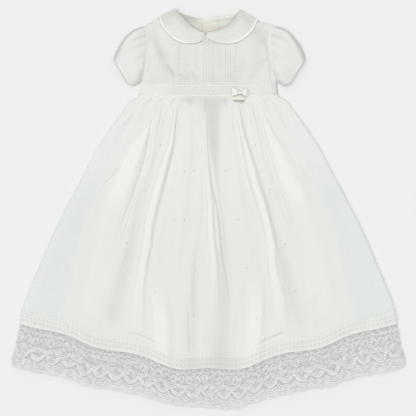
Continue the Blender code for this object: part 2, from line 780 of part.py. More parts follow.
def collar_surface(name):
    """Rows of points on the collar's outer side, from the centre front to the centre back."""
    front, back = COLLAR_FRONT[name], COLLAR_BACK[name]
    neck, corner = front["inner"][-1], front["outer"][-1]
    side = math.copysign(1.0, corner[0])
    length = math.dist(neck, corner)
    outward = (-side * (corner[1] - neck[1]) / length, side * (corner[0] - neck[0]) / length)
    radius = (2 * LAYER + COLLAR_CLEARANCE + 2 * CLOTH) / 2.0

    def row(inner, outer, back_off, height):
        points = []
        for width, raised in COLLAR_ROWS:
            x = lerp(inner[0], outer[0], width) + outward[0] * back_off
            y = lerp(inner[1], outer[1], width) + outward[1] * back_off
            points.append((x, y, height(x, y, raised)))
        return points

    def on_front(x, y, raised):
        return bodice_height(x, y) + COLLAR_CLEARANCE + 2 * CLOTH + raised

    rows = []
    for share in steps(COLLAR_FRONT_STEPS)[:-1]:
        ends = along(front["inner"], share), along(front["outer"], share)
        rows.append(row(*ends, 0.0, on_front))
    for turn in steps(COLLAR_TURN_STEPS):
        angle = math.pi * (0.5 - turn)
        level = radius + radius * math.sin(angle)
        fade = 1.0 - ramp(0.0, 0.6, turn)
        back_off = radius * (math.cos(angle) - 1.0)
        rows.append(row(neck, corner, back_off, lambda x, y, r, z=level, f=fade: z + r * f))
    for share in steps(COLLAR_BACK_STEPS)[1:]:
        ends = along(back["inner"], share), along(back["outer"], share)
        rows.append(row(*ends, -radius * (1.0 - share) ** 3, lambda x, y, raised: 0.0))
    return rows


def make_collar(voile):
    """Each half is one leaf: over the bodice, round the shoulder, under the back."""
    for name in COLLAR_FRONT:
        rows = collar_surface(name)
        down, across = len(rows) - 1, len(rows[0]) - 1
        bm = bmesh.new()
        bmesh.ops.create_grid(bm, x_segments=across, y_segments=down, size=0.5)
        for vert in bm.verts:
            i = round((0.5 - vert.co.y) * down)
            j = round((vert.co.x + 0.5) * across)
            x, y, z = rows[i][j]
            vert.co = (x * MM, y * MM, z * MM)
        bmesh.ops.recalc_face_normals(bm, faces=bm.faces[:])
        top = max(bm.faces, key=lambda face: face.calc_center_median().z)
        if top.normal.z < 0.0:
            bmesh.ops.reverse_faces(bm, faces=bm.faces[:])
        obj = finish_sheet(name, bm, voile)
        wall = obj.modifiers.new("wall", "SOLIDIFY")
        wall.thickness = CLOTH * MM
        wall.offset = -1.0
        wall.use_even_offset = True


# ---------------------------------------------------------------- sleeves


def straight(points, share):
    """Point at a share of the length of a line through the points, with its corners kept."""
    left = share * sum(math.dist(a, b) for a, b in zip(points, points[1:]))
    for first, second in zip(points, points[1:]):
        length = math.dist(first, second)
        if left <= length:
            break
        left -= length
    part = min(1.0, left / length)
    return lerp(first[0], second[0], part), lerp(first[1], second[1], part)


class Sleeve:
    """One flattened sleeve: across 0 at the folded cap edge and 1 at the underarm, down 0
    at the armhole and 1 at the hem."""

    def __init__(self, sleeve):
        self.side = sleeve["side"]
        self.cap, self.hem = sleeve["cap"], sleeve["hem"]
        last = len(ARMHOLE_ROWS) - 1
        edge = [
            (self.side * (armhole_distance(row, self.side) + SEAM), y)
            for row, y in enumerate(ARMHOLE_ROWS)
        ]
        share = (edge[last - 1][1] - UNDERARM_Y) / (edge[last - 1][1] - edge[last][1])
        edge[last] = (lerp(edge[last - 1][0], edge[last][0], share), UNDERARM_Y)
        self.armhole = edge
        self.across = self.armhole_shares()

    def armhole_shares(self):
        """Steps round the sleeve, with one at each corner of the armhole's edge."""
        lengths = [math.dist(a, b) for a, b in zip(self.armhole, self.armhole[1:])]
        shares, before = [0.0], 0.0
        for length, count in zip(lengths, SLEEVE_STEPS):
            shares += [(before + length * k / count) / sum(lengths) for k in range(1, count + 1)]
            before += length
        return shares

    def plan(self, across, down):
        a, b = straight(self.armhole, across), along(self.hem, across)
        c, d = along(self.cap, down), straight((self.armhole[-1], self.hem[-1]), down)
        corners = (self.armhole[0], self.armhole[-1], self.hem[0], self.hem[-1])
        point = []
        for k in (0, 1):
            ruled = lerp(a[k], b[k], down) + lerp(c[k], d[k], across)
            upper = lerp(corners[0][k], corners[1][k], across)
            lower = lerp(corners[2][k], corners[3][k], across)
            point.append(ruled - lerp(upper, lower, down))
        return tuple(point)

    def crown(self, across, down):
        """Upper side of the sleeve's front above the floor."""
        x, y = straight(self.armhole, across)
        edge = ramp(0.0, SLEEVE_ROUND, across) * ramp(1.0, 1.0 - SLEEVE_ROUND, across)
        seam = bodice_height(x - self.side * SEAM, y) + CLOTH - SLEEVE_EDGE
        puff = SLEEVE_PUFF * math.sin(math.pi * across) * bell(down - PUFF_PEAK, PUFF_REACH)
        gather = SLEEVE_GATHER_HEIGHT * math.sin(4.0 * math.pi * SLEEVE_GATHERS * across)
        gather *= bell(down - SLEEVE_GATHER_AT, SLEEVE_GATHER_REACH)
        gather *= 1.0 - ramp(*SLEEVE_GATHER_END, across)
        rise = lerp(seam, HEM_RISE, ramp(0.0, 1.0, down)) + puff + gather
        return SLEEVE_EDGE + max(0.0, rise) * edge

    def reach(self, across):
        """Length of the sleeve from the armhole to the hem."""
        return max(SHORTEST_SLEEVE, math.dist(self.plan(across, 0.0), self.plan(across, 1.0)))

    def ring(self, down_at, lift):
        """Outer and inner loop round the sleeve; the front's upper side is lifted."""
        length = math.dist(self.plan(0.0, down_at(0.0)), self.plan(1.0, down_at(1.0)))
        fold, wall = SLEEVE_FOLD / length, CLOTH / length
        middle = SLEEVE_EDGE / 2.0

        def kept(across, margin):
            return min(max(across, margin), 1.0 - margin)

        def at(across, z):
            return (*self.plan(across, down_at(across)), z)

        outer, inner = [at(0.0, middle)], [at(wall, middle)]
        for across in self.across:
            a, b = kept(across, fold), kept(across, fold + wall)
            top = self.crown(a, down_at(a))
            outer.append(at(a, top + lift))
            inner.append(at(b, top - CLOTH))
        outer.append(at(1.0, middle))
        inner.append(at(1.0 - wall, middle))
        for across in reversed(self.across):
            outer.append(at(kept(across, fold), 0.0))
            inner.append(at(kept(across, fold + wall), CLOTH))
        return outer, inner


def make_sleeves(voile):
    """Each sleeve with the narrow binding that closes its hem."""
    for label, sizes in SLEEVES.items():
        sleeve = Sleeve(sizes)
        sleeve_end = CUFF_WIDTH + CUFF_GAP
        body = [
            sleeve.ring(lambda a, s=share: s * (1.0 - sleeve_end / sleeve.reach(a)), 0.0)
            for share in SLEEVE_RINGS
        ]
        tube_wall(f"sleeve_{label}", body, voile)
        binding = [
            sleeve.ring(lambda a, s=share: 1.0 - s * CUFF_WIDTH / sleeve.reach(a), CUFF_RISE)
            for share in CUFF_STEPS
        ]
        tube_wall(f"cuff_{label}", binding, voile)


# ---------------------------------------------------------------- buttons, bow and charm


def make_buttons(shell):
    """Round flat buttons under the back opening."""
    for name, y in BUTTONS:
        bm = bmesh.new()
        bmesh.ops.create_cone(bm, cap_ends=True, segments=BUTTON_SIDES,
                              radius1=BUTTON_RADIUS * MM, radius2=BUTTON_RADIUS * MM,
                              depth=BUTTON_THICKNESS * MM)
        rim = [edge for edge in bm.edges if abs(edge.verts[0].co.z - edge.verts[1].co.z) < 1e-7]
        bmesh.ops.bevel(bm, geom=rim, offset=BUTTON_BEVEL * MM, segments=1, profile=0.5,
                        affect="EDGES", material=-1)
        centre = (BUTTON_X * MM, y * MM, BUTTON_THICKNESS / 2.0 * MM)
        bmesh.ops.translate(bm, verts=bm.verts[:], vec=centre)
        finish(name, bm, shell)


def bow_level():
    """Height at which the bow lies: just over the piping of the waistband."""
    return LOFT + DOME * bell(BOW_X, DOME_HALF) + CLOTH + WAISTBAND_ROWS[-2][1] + BOW_CLEARANCE


def make_bow(satin):
    """Two folded loops of ribbon beside a knot."""
    level = bow_level()
    start = KNOT_HALF[0] + SEAM
    end = BOW_LENGTH - BOW_FOLD
    half_way = (start + end) / 2.0
    path = [(start, 1.6 * BOW_FOLD), (half_way, 1.95 * BOW_FOLD)]
    for angle in steps(7, math.pi / 2.0, -math.pi / 2.0):
        path.append((end + BOW_FOLD * math.cos(angle), BOW_FOLD + BOW_FOLD * math.sin(angle)))
    path += [(half_way, 0.05 * BOW_FOLD), (start, 0.3 * BOW_FOLD)]
    last = len(path) - 1
    for label, side in (("left", -1), ("right", 1)):
        bm = bmesh.new()
        bmesh.ops.create_grid(bm, x_segments=4, y_segments=last, size=0.5)
        for vert in bm.verts:
            outward, height = path[round((0.5 - vert.co.y) * last)]
            half = lerp(BOW_WAIST, BOW_HALF_HEIGHT, ramp(0.0, BOW_LENGTH, outward))
            x = BOW_X + side * outward
            y = BOW_Y + BOW_SWEEP * outward / BOW_LENGTH + 2.0 * vert.co.x * half
            vert.co = (x * MM, y * MM, (level + height) * MM)
        wall = finish_sheet(f"bow_loop_{label}", bm, satin).modifiers.new("wall", "SOLIDIFY")
        wall.thickness = BOW_WALL * MM
        wall.offset = -side
    bm = bmesh.new()
    bmesh.ops.create_uvsphere(bm, u_segments=14, v_segments=8, radius=MM)
    bmesh.ops.scale(bm, verts=bm.verts[:], vec=KNOT_HALF)
    centre = (BOW_X * MM, BOW_Y * MM, (level + KNOT_HALF[2]) * MM)
    bmesh.ops.translate(bm, verts=bm.verts[:], vec=centre)
    finish("bow_knot", bm, satin)


def make_charm(metal):
    """Plain oval plate that hangs from the knot, with a raised dome."""
    bm = bmesh.new()
    bmesh.ops.create_circle(bm, cap_ends=True, segments=24, radius=MM)
    bmesh.ops.scale(bm, verts=bm.verts[:], vec=(*CHARM_HALF, 1.0))
    centre = [value * MM for value in (*CHARM_CENTRE, bow_level() + CHARM_CLEARANCE)]
    bmesh.ops.translate(bm, verts=bm.verts[:], vec=centre)
    raised = bmesh.ops.extrude_face_region(bm, geom=bm.faces[:])["geom"]
    top = [item for item in raised if isinstance(item, bmesh.types.BMFace)]
    rim = [item for item in raised if isinstance(item, bmesh.types.BMVert)]
    bmesh.ops.translate(bm, verts=rim, vec=(0.0, 0.0, CHARM_THICKNESS * MM))
    for inset, rise in CHARM_STEPS:
        bmesh.ops.inset_region(bm, faces=top, thickness=inset * MM, depth=0.0)
        lifted = list({vert for face in top for vert in face.verts})
        bmesh.ops.translate(bm, verts=lifted, vec=(0.0, 0.0, rise * MM))
    finish("charm", bm, metal)


def main():
    for obj in list(bpy.data.objects):
        bpy.data.objects.remove(obj, do_unlink=True)
    voile = material("voile", WHITE_VOILE, 0.85)
    batiste = material("batiste", WHITE_BATISTE, 0.9)
    lace = material("lace", WHITE_LACE, 0.85)
    satin = material("satin", WHITE_SATIN, 0.35)
    shell = material("shell_button", SHELL_BUTTON, 0.3)
    metal = material("champagne_metal", CHAMPAGNE, 0.35, metallic=1.0)
    make_skirt(voile, batiste, lace)
    make_waistband(voile)
    make_bodice_back(voile)
    make_bodice_front(voile)
    make_collar(voile)
    make_sleeves(voile)
    make_buttons(shell)
    make_bow(satin)
    make_charm(metal)


main()
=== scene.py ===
"""Christening gown laid flat on its back, in cotton voile, lace and satin ribbon.

The pieces follow the order in which the gown lies: the back, the lining, the front, and then
what is sewn on. Sizes are in millimetres, and are turned into metres where a mesh is laid.
"""

import math

import bmesh
import bpy
import numpy as np
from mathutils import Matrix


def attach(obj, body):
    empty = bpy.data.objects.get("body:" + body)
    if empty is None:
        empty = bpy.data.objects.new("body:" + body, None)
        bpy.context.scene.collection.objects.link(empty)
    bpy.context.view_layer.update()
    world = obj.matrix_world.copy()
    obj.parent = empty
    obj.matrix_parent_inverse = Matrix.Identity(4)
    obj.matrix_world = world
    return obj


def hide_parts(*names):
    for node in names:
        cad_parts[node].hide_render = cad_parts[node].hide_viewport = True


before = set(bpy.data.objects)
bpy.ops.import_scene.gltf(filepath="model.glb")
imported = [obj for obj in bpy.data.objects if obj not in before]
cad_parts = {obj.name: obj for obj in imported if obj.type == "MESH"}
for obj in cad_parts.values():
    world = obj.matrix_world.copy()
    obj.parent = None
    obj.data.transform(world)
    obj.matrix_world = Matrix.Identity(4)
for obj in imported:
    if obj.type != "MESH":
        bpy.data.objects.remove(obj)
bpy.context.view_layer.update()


# ---------------------------------------------------------------- back of the skirt
# The back panel of the outer skirt, in sheer cotton voile. It is gathered into the waistband
# and is pressed flat on the table by everything that lies on it.

MM = 0.001
BODY = "root"
WAIST_Y = 208.0                # waist seam
HEM_HALF = 347.5               # half width along the lower edge of the hem band
HEM_DEPTH = 21.0
SKIRT_LENGTH = 480.0
SKIRT_SIDES = (
    # height, half width
    (208.0, 129.5), (200.0, 144.0), (184.0, 156.0), (147.0, 183.0), (110.0, 207.0),
    (73.0, 226.0), (36.0, 246.0), (-38.0, 284.0), (-112.0, 316.0), (-165.0, 338.0),
    (-190.0, 346.0),
)
HEM_EDGE = (
    # distance from centre, height of the hem band's lower edge
    (0.0, -292.5), (40.0, -295.5), (64.0, -293.0), (88.0, -283.5), (114.0, -273.0),
    (143.0, -264.5), (173.0, -261.0), (204.0, -255.5), (227.0, -247.0), (247.0, -236.5),
    (281.0, -226.0), (314.0, -219.5), (348.0, -210.7),
)


def lerp(start, end, share):
    return start + (end - start) * share


def ramp(start, end, value):
    """Smooth step from 0 at start to 1 at end."""
    share = np.clip((value - start) / (end - start), 0.0, 1.0)
    return share * share * (3.0 - 2.0 * share)


def bell(distance, half_width):
    """1 at the middle and 0 from half_width on, with soft feet."""
    near = np.clip(np.abs(distance) / half_width, 0.0, 1.0)
    return 0.5 + 0.5 * np.cos(np.pi * near)


def through(rows, key, column=1):
    """Smooth curve through a table: a column's value where the first column is key."""
    table = np.array(rows, dtype=float)
    table = table[table[:, 0].argsort()]
    keys, values = table[:, 0], table[:, column]
    last = len(keys) - 1
    before = np.maximum(np.arange(last + 1) - 1, 0)
    after = np.minimum(np.arange(last + 1) + 1, last)
    slopes = (values[after] - values[before]) / (keys[after] - keys[before])
    key = np.clip(key, keys[0], keys[-1])
    i = np.clip(np.searchsorted(keys, key, side="right") - 1, 0, last - 1)
    span = keys[i + 1] - keys[i]
    t = (key - keys[i]) / span
    return (
        values[i] * (2 * t**3 - 3 * t**2 + 1)
        + values[i + 1] * (3 * t**2 - 2 * t**3)
        + slopes[i] * span * (t**3 - 2 * t**2 + t)
        + slopes[i + 1] * span * (t**3 - t**2)
    )


def drift(a, b, seed):
    """Slow uneven waves between -1 and 1 over two distances, the same on every run."""
    wave = np.sin(a + 1.3 * np.sin(0.7 * b + seed) + 2.1 * seed)
    wave = wave + 0.6 * np.sin(1.9 * a - 0.8 * b + 4.7 * seed)
    return (wave + 0.5 * np.sin(0.6 * a + 1.7 * b + 1.1 * seed)) / 2.1


def hem_edge(x):
    return through(HEM_EDGE, np.abs(x))


def skirt_half(down):
    """Half width of the skirt, down from the waist to the hem band."""
    return through(SKIRT_SIDES, lerp(WAIST_Y, SKIRT_SIDES[-1][0], down))


def skirt_plan(across, down):
    """Plan of the skirt: across from side to side, down from the waist to the hem band."""
    down = np.clip(down, 0.0, 1.0)
    low = hem_edge(across * HEM_HALF) + HEM_DEPTH
    return across * skirt_half(down), lerp(WAIST_Y, low, down)


def meshed(name, bm):
    mesh = bpy.data.meshes.new(name)
    bm.to_mesh(mesh)
    bm.free()
    return mesh


def in_scene(name, data):
    thing = bpy.data.objects.new(name, data)
    bpy.context.scene.collection.objects.link(thing)
    return thing


def thicken(sheet, wall, offset=-1.0):
    """Give a sheet a wall in millimetres: all below its face, or around it at offset 0."""
    cloth = sheet.modifiers.new("cloth", "SOLIDIFY")
    cloth.thickness = wall * MM
    cloth.offset = offset


def lay(name, dye, across, down, shape, cut, wall=0.0, masks=None):
    """A sheet of cloth on a grid: u across from -1 to 1 and v down from 0 to 1.

    across and down are the grid's places, or how many evenly spaced ones there are.
    shape(u, v) gives x, y and z; cut(u, v) gives the place on the flat cloth, which the weave
    and the stitches follow. A mask is a number at each place, which the cloth's dye reads by
    its name.
    """
    across = np.linspace(-1, 1, across) if isinstance(across, int) else across
    down = np.linspace(0, 1, down) if isinstance(down, int) else down
    columns, rows = len(across) - 1, len(down) - 1
    bm = bmesh.new()
    bmesh.ops.create_grid(bm, x_segments=columns, y_segments=rows, size=0.5)
    mesh = meshed(name, bm)
    spots = np.empty(len(mesh.vertices) * 3)
    mesh.vertices.foreach_get("co", spots)
    u = across[np.rint((spots[0::3] + 0.5) * columns).astype(int)]
    v = down[np.rint((0.5 - spots[1::3]) * rows).astype(int)]
    mesh.vertices.foreach_set("co", (np.stack(shape(u, v), axis=1) * MM).ravel())
    flat = mesh.attributes.new("cut", "FLOAT_VECTOR", "POINT")
    flat.data.foreach_set("vector", np.stack([*cut(u, v), 0.0 * u], axis=1).ravel())
    for label, mask in (masks or {}).items():
        layer = mesh.attributes.new(label, "FLOAT", "POINT")
        layer.data.foreach_set("value", mask(u, v))
    mesh.shade_smooth()
    mesh.materials.append(dye.material)
    sheet = in_scene(name, mesh)
    if wall:
        thicken(sheet, wall)
    return sheet


def cut_to(width, depth):
    """The flat cloth of a sheet: how far one step of u and one of v go over it."""
    return lambda u, v: (u * width, v * depth)


class Thread:
    """A number in a dye's nodes; arithmetic on it adds Math nodes."""

    def __init__(self, dye, socket):
        self.dye, self.socket = dye, socket

    def math(self, operation, *values):
        return self.dye.node("ShaderNodeMath", {"operation": operation}, [self, *values])

    def __add__(self, other):
        return self.math("ADD", other)

    def __sub__(self, other):
        return self.math("SUBTRACT", other)

    def __rsub__(self, other):
        return self.dye.node("ShaderNodeMath", {"operation": "SUBTRACT"}, [other, self])

    def __mul__(self, other):
        return self.math("MULTIPLY", other)

    def __truediv__(self, other):
        return self.math("DIVIDE", other)

    def __abs__(self):
        return self.math("ABSOLUTE")

    __radd__ = __add__
    __rmul__ = __mul__

    def soft(self, start, end):
        """Smooth step of the number, from 0 at start to 1 at end."""
        settings = {"interpolation_type": "SMOOTHSTEP"}
        return self.dye.node("ShaderNodeMapRange", settings, [self, start, end, 0.0, 1.0])

    def near(self, place, outer, inner):
        """1 within the inner distance of a place, and 0 beyond the outer one."""
        return abs(self - place).soft(outer, inner)

    def off_beat(self, pitch):
        """Distance from the middle of each repeat, as a share of the pitch."""
        return abs((self / pitch).math("FRACT") - 0.5)


class Dye:
    """A material under way: a Principled shader and the nodes that feed it."""

    def __init__(self, name, finish):
        self.material = bpy.data.materials.new(name)
        self.material.use_nodes = True
        self.tree = self.material.node_tree
        self.shader = self.tree.nodes["Principled BSDF"]
        for socket, value in finish.items():
            self.shader.inputs[socket].default_value = value

    def node(self, kind, settings=None, inputs=(), output=0):
        """A node with its settings made first, then its sockets set or linked."""
        node = self.tree.nodes.new(kind)
        for key, value in (settings or {}).items():
            setattr(node, key, value)
        for key, value in inputs.items() if isinstance(inputs, dict) else enumerate(inputs):
            self.feed(node.inputs[key], value)
        return Thread(self, node.outputs[output])

    def feed(self, socket, value):
        if isinstance(value, Thread):
            self.tree.links.new(value.socket, socket)
        else:
            socket.default_value = value

    def split(self, vector):
        parts = self.node("ShaderNodeSeparateXYZ", inputs=[vector]).socket.node
        return Thread(self, parts.outputs[0]), Thread(self, parts.outputs[1])

    def place(self):
        """x and y on the flat cloth, in millimetres."""
        flat = self.node("ShaderNodeAttribute", {"attribute_name": "cut"}, output="Vector")
        return self.split(flat)

    def spot(self):
        """x and y on the laid gown, in metres."""
        return self.split(self.node("ShaderNodeTexCoord", output="Object"))

    def mask(self, name):
        return self.node("ShaderNodeAttribute", {"attribute_name": name}, output="Fac")

    def noise(self, x, y, detail=2.0):
        """Cloudy noise between 0 and 1 over two numbers."""
        spot = self.node("ShaderNodeCombineXYZ", inputs=[x, y])
        inputs = {"Vector": spot, "Scale": 1.0, "Detail": detail}
        return self.node("ShaderNodeTexNoise", {"noise_dimensions": "2D"}, inputs)

    def blend(self, share, first, second):
        """Colour between two colours."""
        inputs = {0: share, 6: first, 7: second}
        return self.node("ShaderNodeMix", {"data_type": "RGBA"}, inputs, output=2)

    def paint(self, tone):
        self.feed(self.shader.inputs["Base Color"], tone)

    def tint(self, share, tone):
        """Lay a colour over the one painted so far, as strongly as the share says."""
        painted = Thread(self, self.shader.inputs["Base Color"].links[0].from_socket)
        self.paint(self.blend(share, painted, tone))

    def relief(self, height, depth):
        """Bump of the given depth in millimetres, fed to the shader's Normal."""
        inputs = {"Strength": 1.0, "Distance": depth * MM, "Height": height}
        self.feed(self.shader.inputs["Normal"], self.node("ShaderNodeBump", inputs=inputs))


def colour(red, green, blue):
    return red, green, blue, 1.0


THREAD_PITCH = 0.42            # distance between the voile's threads
VOILE = colour(0.835, 0.862, 0.812)
VOILE_WORN = colour(0.800, 0.829, 0.785)
VOILE_FINISH = {"Roughness": 0.82, "Sheen Weight": 0.12, "Sheen Roughness": 0.5,
                "Specular IOR Level": 0.25}
CLOUD = 0.018                  # how fast the cloth's tone drifts, in turns a millimetre


def weave(dye, x, y):
    """Plain weave with slubs: the height of the cloth's face between 0 and 1."""
    turn = math.pi / THREAD_PITCH
    checks = (x * turn).math("SINE") * (y * turn).math("SINE")
    slubs = dye.noise(x * 0.12, y * 2.2) + dye.noise(x * 2.2, y * 0.12)
    return checks * 0.25 + slubs * 0.5


def voile_cloth(name, light=VOILE, dark=VOILE_WORN):
    """Matt plain-woven cotton with a cloudy tone."""
    dye = Dye(name, VOILE_FINISH)
    x, y = dye.place()
    cloud = dye.noise(x * CLOUD, y * CLOUD, 3.0)
    dye.paint(dye.blend(cloud.soft(0.35, 0.65), dark, light))
    dye.relief(weave(dye, x, y), 0.12)
    return dye


BACK_LEVEL = 0.9               # face of the back panels over the table
BACK_WALL = 0.7


def back_skirt(u, v):
    x, y = skirt_plan(u, v)
    press = 0.12 * drift(9.0 * u, 5.0 * v, 1.0) * ramp(1.0, 0.96, np.abs(u))
    return x, y, BACK_LEVEL + press


skirt_cut = cut_to(HEM_HALF, SKIRT_LENGTH)
sheer_voile = voile_cloth("sheer_voile", colour(0.80, 0.83, 0.815), colour(0.775, 0.808, 0.795))
skirt_back = lay("back_skirt_panel", sheer_voile, 101, 61, back_skirt, skirt_cut, wall=BACK_WALL)
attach(skirt_back, BODY)
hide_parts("skirt_back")


# ---------------------------------------------------------------- back hem band and lace
# The hem band and the lace run on round the back. They are the same pieces as in front, seen
# from inside: the lace shows through the front lace as a second layer.

LACE_SIDES = (
    # share of the lace's depth, half width
    (0.0, 348.0), (0.35, 354.0), (0.6, 357.0), (0.85, 364.5), (1.0, 364.0),
)
LACE_EDGE = (
    # place from side to side, height
    (-365.0, -288.5), (-333.0, -295.2), (-266.0, -308.2), (-222.0, -324.0),
    (-189.0, -328.6), (-144.0, -337.2), (-100.0, -346.6), (-66.0, -357.4), (-44.0, -361.6),
    (-20.0, -361.8), (0.0, -363.4), (44.0, -366.8), (66.0, -359.8), (100.0, -348.2),
    (144.0, -338.5), (189.0, -329.0), (222.0, -324.3), (266.0, -309.6), (333.0, -296.4),
    (365.0, -288.6),
)
LACE_DEPTH = 80.0              # real depth of the lace, which its pattern is drawn on
REPEATS = 25                   # scallops across one side of the gown
SCALLOP_DEPTH = 3.0
LADDER_PITCH = 7.7             # from one hemstitched hole to the next
LADDER_ROWS = (4.2, 12.4)      # how far down the band the two rows of holes are
LADDER_HALF = 1.5              # half the height of a hole
HOLE_SHADE = colour(0.50, 0.52, 0.46)
NET_PITCH = 1.7                # one cell of the lace's net
NET_WHITE = colour(0.88, 0.90, 0.88)


def hem_plan(u, v):
    x = u * lerp(SKIRT_SIDES[-1][1], HEM_HALF, v)
    return x, hem_edge(u * HEM_HALF) + HEM_DEPTH * (1.0 - v)


def lace_plan(u, v, tucked=0.0):
    x = u * through(LACE_SIDES, v)
    top = hem_edge(u * HEM_HALF) + tucked
    scallop = np.abs(np.sin(math.pi * REPEATS * (u + 1.0) / 2.0))
    low = through(LACE_EDGE, u * LACE_EDGE[-1][0]) + SCALLOP_DEPTH * (0.5 - scallop)
    return x, lerp(top, low, v)


def ladder_cloth(name, rows, openness, light=VOILE, dark=VOILE_WORN):
    """Voile with rows of hemstitched holes between bars of thread."""
    dye = voile_cloth(name, light, dark)
    x, y = dye.place()
    gap = x.off_beat(LADDER_PITCH).soft(0.32, 0.18)
    holes = 0.0
    for row in rows:
        holes = y.near(row, LADDER_HALF + 0.6, LADDER_HALF - 0.6) * gap + holes
    dye.tint(holes * openness, HOLE_SHADE)
    dye.relief(weave(dye, x, y) * 0.3 - holes, 0.4)
    return dye


def back_lace(u, v):
    x, y = lace_plan(u, v)
    return x, y, 0.95 + 0.15 * drift(30.0 * u, 2.0 * v, 2.0)


def flat_back(plan):
    """A back piece that lies flat on the table."""
    return lambda u, v: (*plan(u, v), BACK_LEVEL + 0.0 * u)


hem_cut = cut_to(HEM_HALF, HEM_DEPTH)
hem_ladder = ladder_cloth("hemstitched_voile", LADDER_ROWS, 0.35)
band_back = lay("back_hem_band", hem_ladder, 161, 7, flat_back(hem_plan), hem_cut, wall=BACK_WALL)
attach(band_back, BODY)
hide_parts("hem_band_back")

# The net is twisted thread, open between its threads, and closer where it is worked and along
# its edge.
net = Dye("lace_net", {"Roughness": 0.85, "Sheen Weight": 0.1, "Specular IOR Level": 0.2,
                       "Base Color": NET_WHITE})
x, y = net.place()
turn = math.pi / NET_PITCH
one, other = abs(((x + y) * turn).math("SINE")), abs(((x - y) * turn).math("SINE"))
threads = one.math("MINIMUM", other).soft(0.30, 0.06)
filling = net.noise(x * 0.13, y * 0.13, 3.0).soft(0.38, 0.66)
down = y / LACE_DEPTH
cover = threads * 0.30 + filling * 0.26 + 0.32
cover = cover + down.soft(0.10, 0.20) * 0.05 + down.soft(0.74, 0.80) * 0.10
net.feed(net.shader.inputs["Alpha"], cover.math("MINIMUM", 1.0))
net.relief(threads, 0.06)
lace_cut = cut_to(LACE_SIDES[-1][1], LACE_DEPTH)
lace_back = lay("back_lace", net, 401, 17, back_lace, lace_cut)
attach(lace_back, BODY)
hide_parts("lace_back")


# ---------------------------------------------------------------- lining
# An inner skirt of opaque batiste, a narrower A-line than the voile: front and back panels
# that hang from the same waist seam. It shows through the voile as a whiter shape.

LINING_SIDES = (
    # height, half width
    (208.0, 112.0), (184.0, 134.0), (147.0, 154.0), (110.0, 171.0), (82.0, 182.0),
    (36.0, 200.0), (-29.0, 233.0), (-75.0, 245.0), (-130.0, 252.0), (-186.0, 268.0),
)
LINING_ABOVE_BAND = 4.0
LINING_BACK_LEVEL = 2.2
LINING_FRONT_LEVEL = 3.5


def lining_plan(u, v):
    half = through(LINING_SIDES, lerp(WAIST_Y, LINING_SIDES[-1][0], v))
    low = hem_edge(u * LINING_SIDES[-1][1]) + HEM_DEPTH + LINING_ABOVE_BAND
    return u * half, lerp(WAIST_Y, low, v)


batiste = voile_cloth("batiste", colour(0.86, 0.88, 0.83), colour(0.84, 0.86, 0.81))
for label, level in (("back", LINING_BACK_LEVEL), ("front", LINING_FRONT_LEVEL)):
    panel = lay(f"{label}_lining_panel", batiste, 81, 61,
                lambda u, v: (*lining_plan(u, v), level + 0.1 * drift(8.0 * u, 6.0 * v, level)),
                cut_to(LINING_SIDES[-1][1], SKIRT_LENGTH), wall=0.6)
    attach(panel, BODY)
    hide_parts(f"lining_{label}")
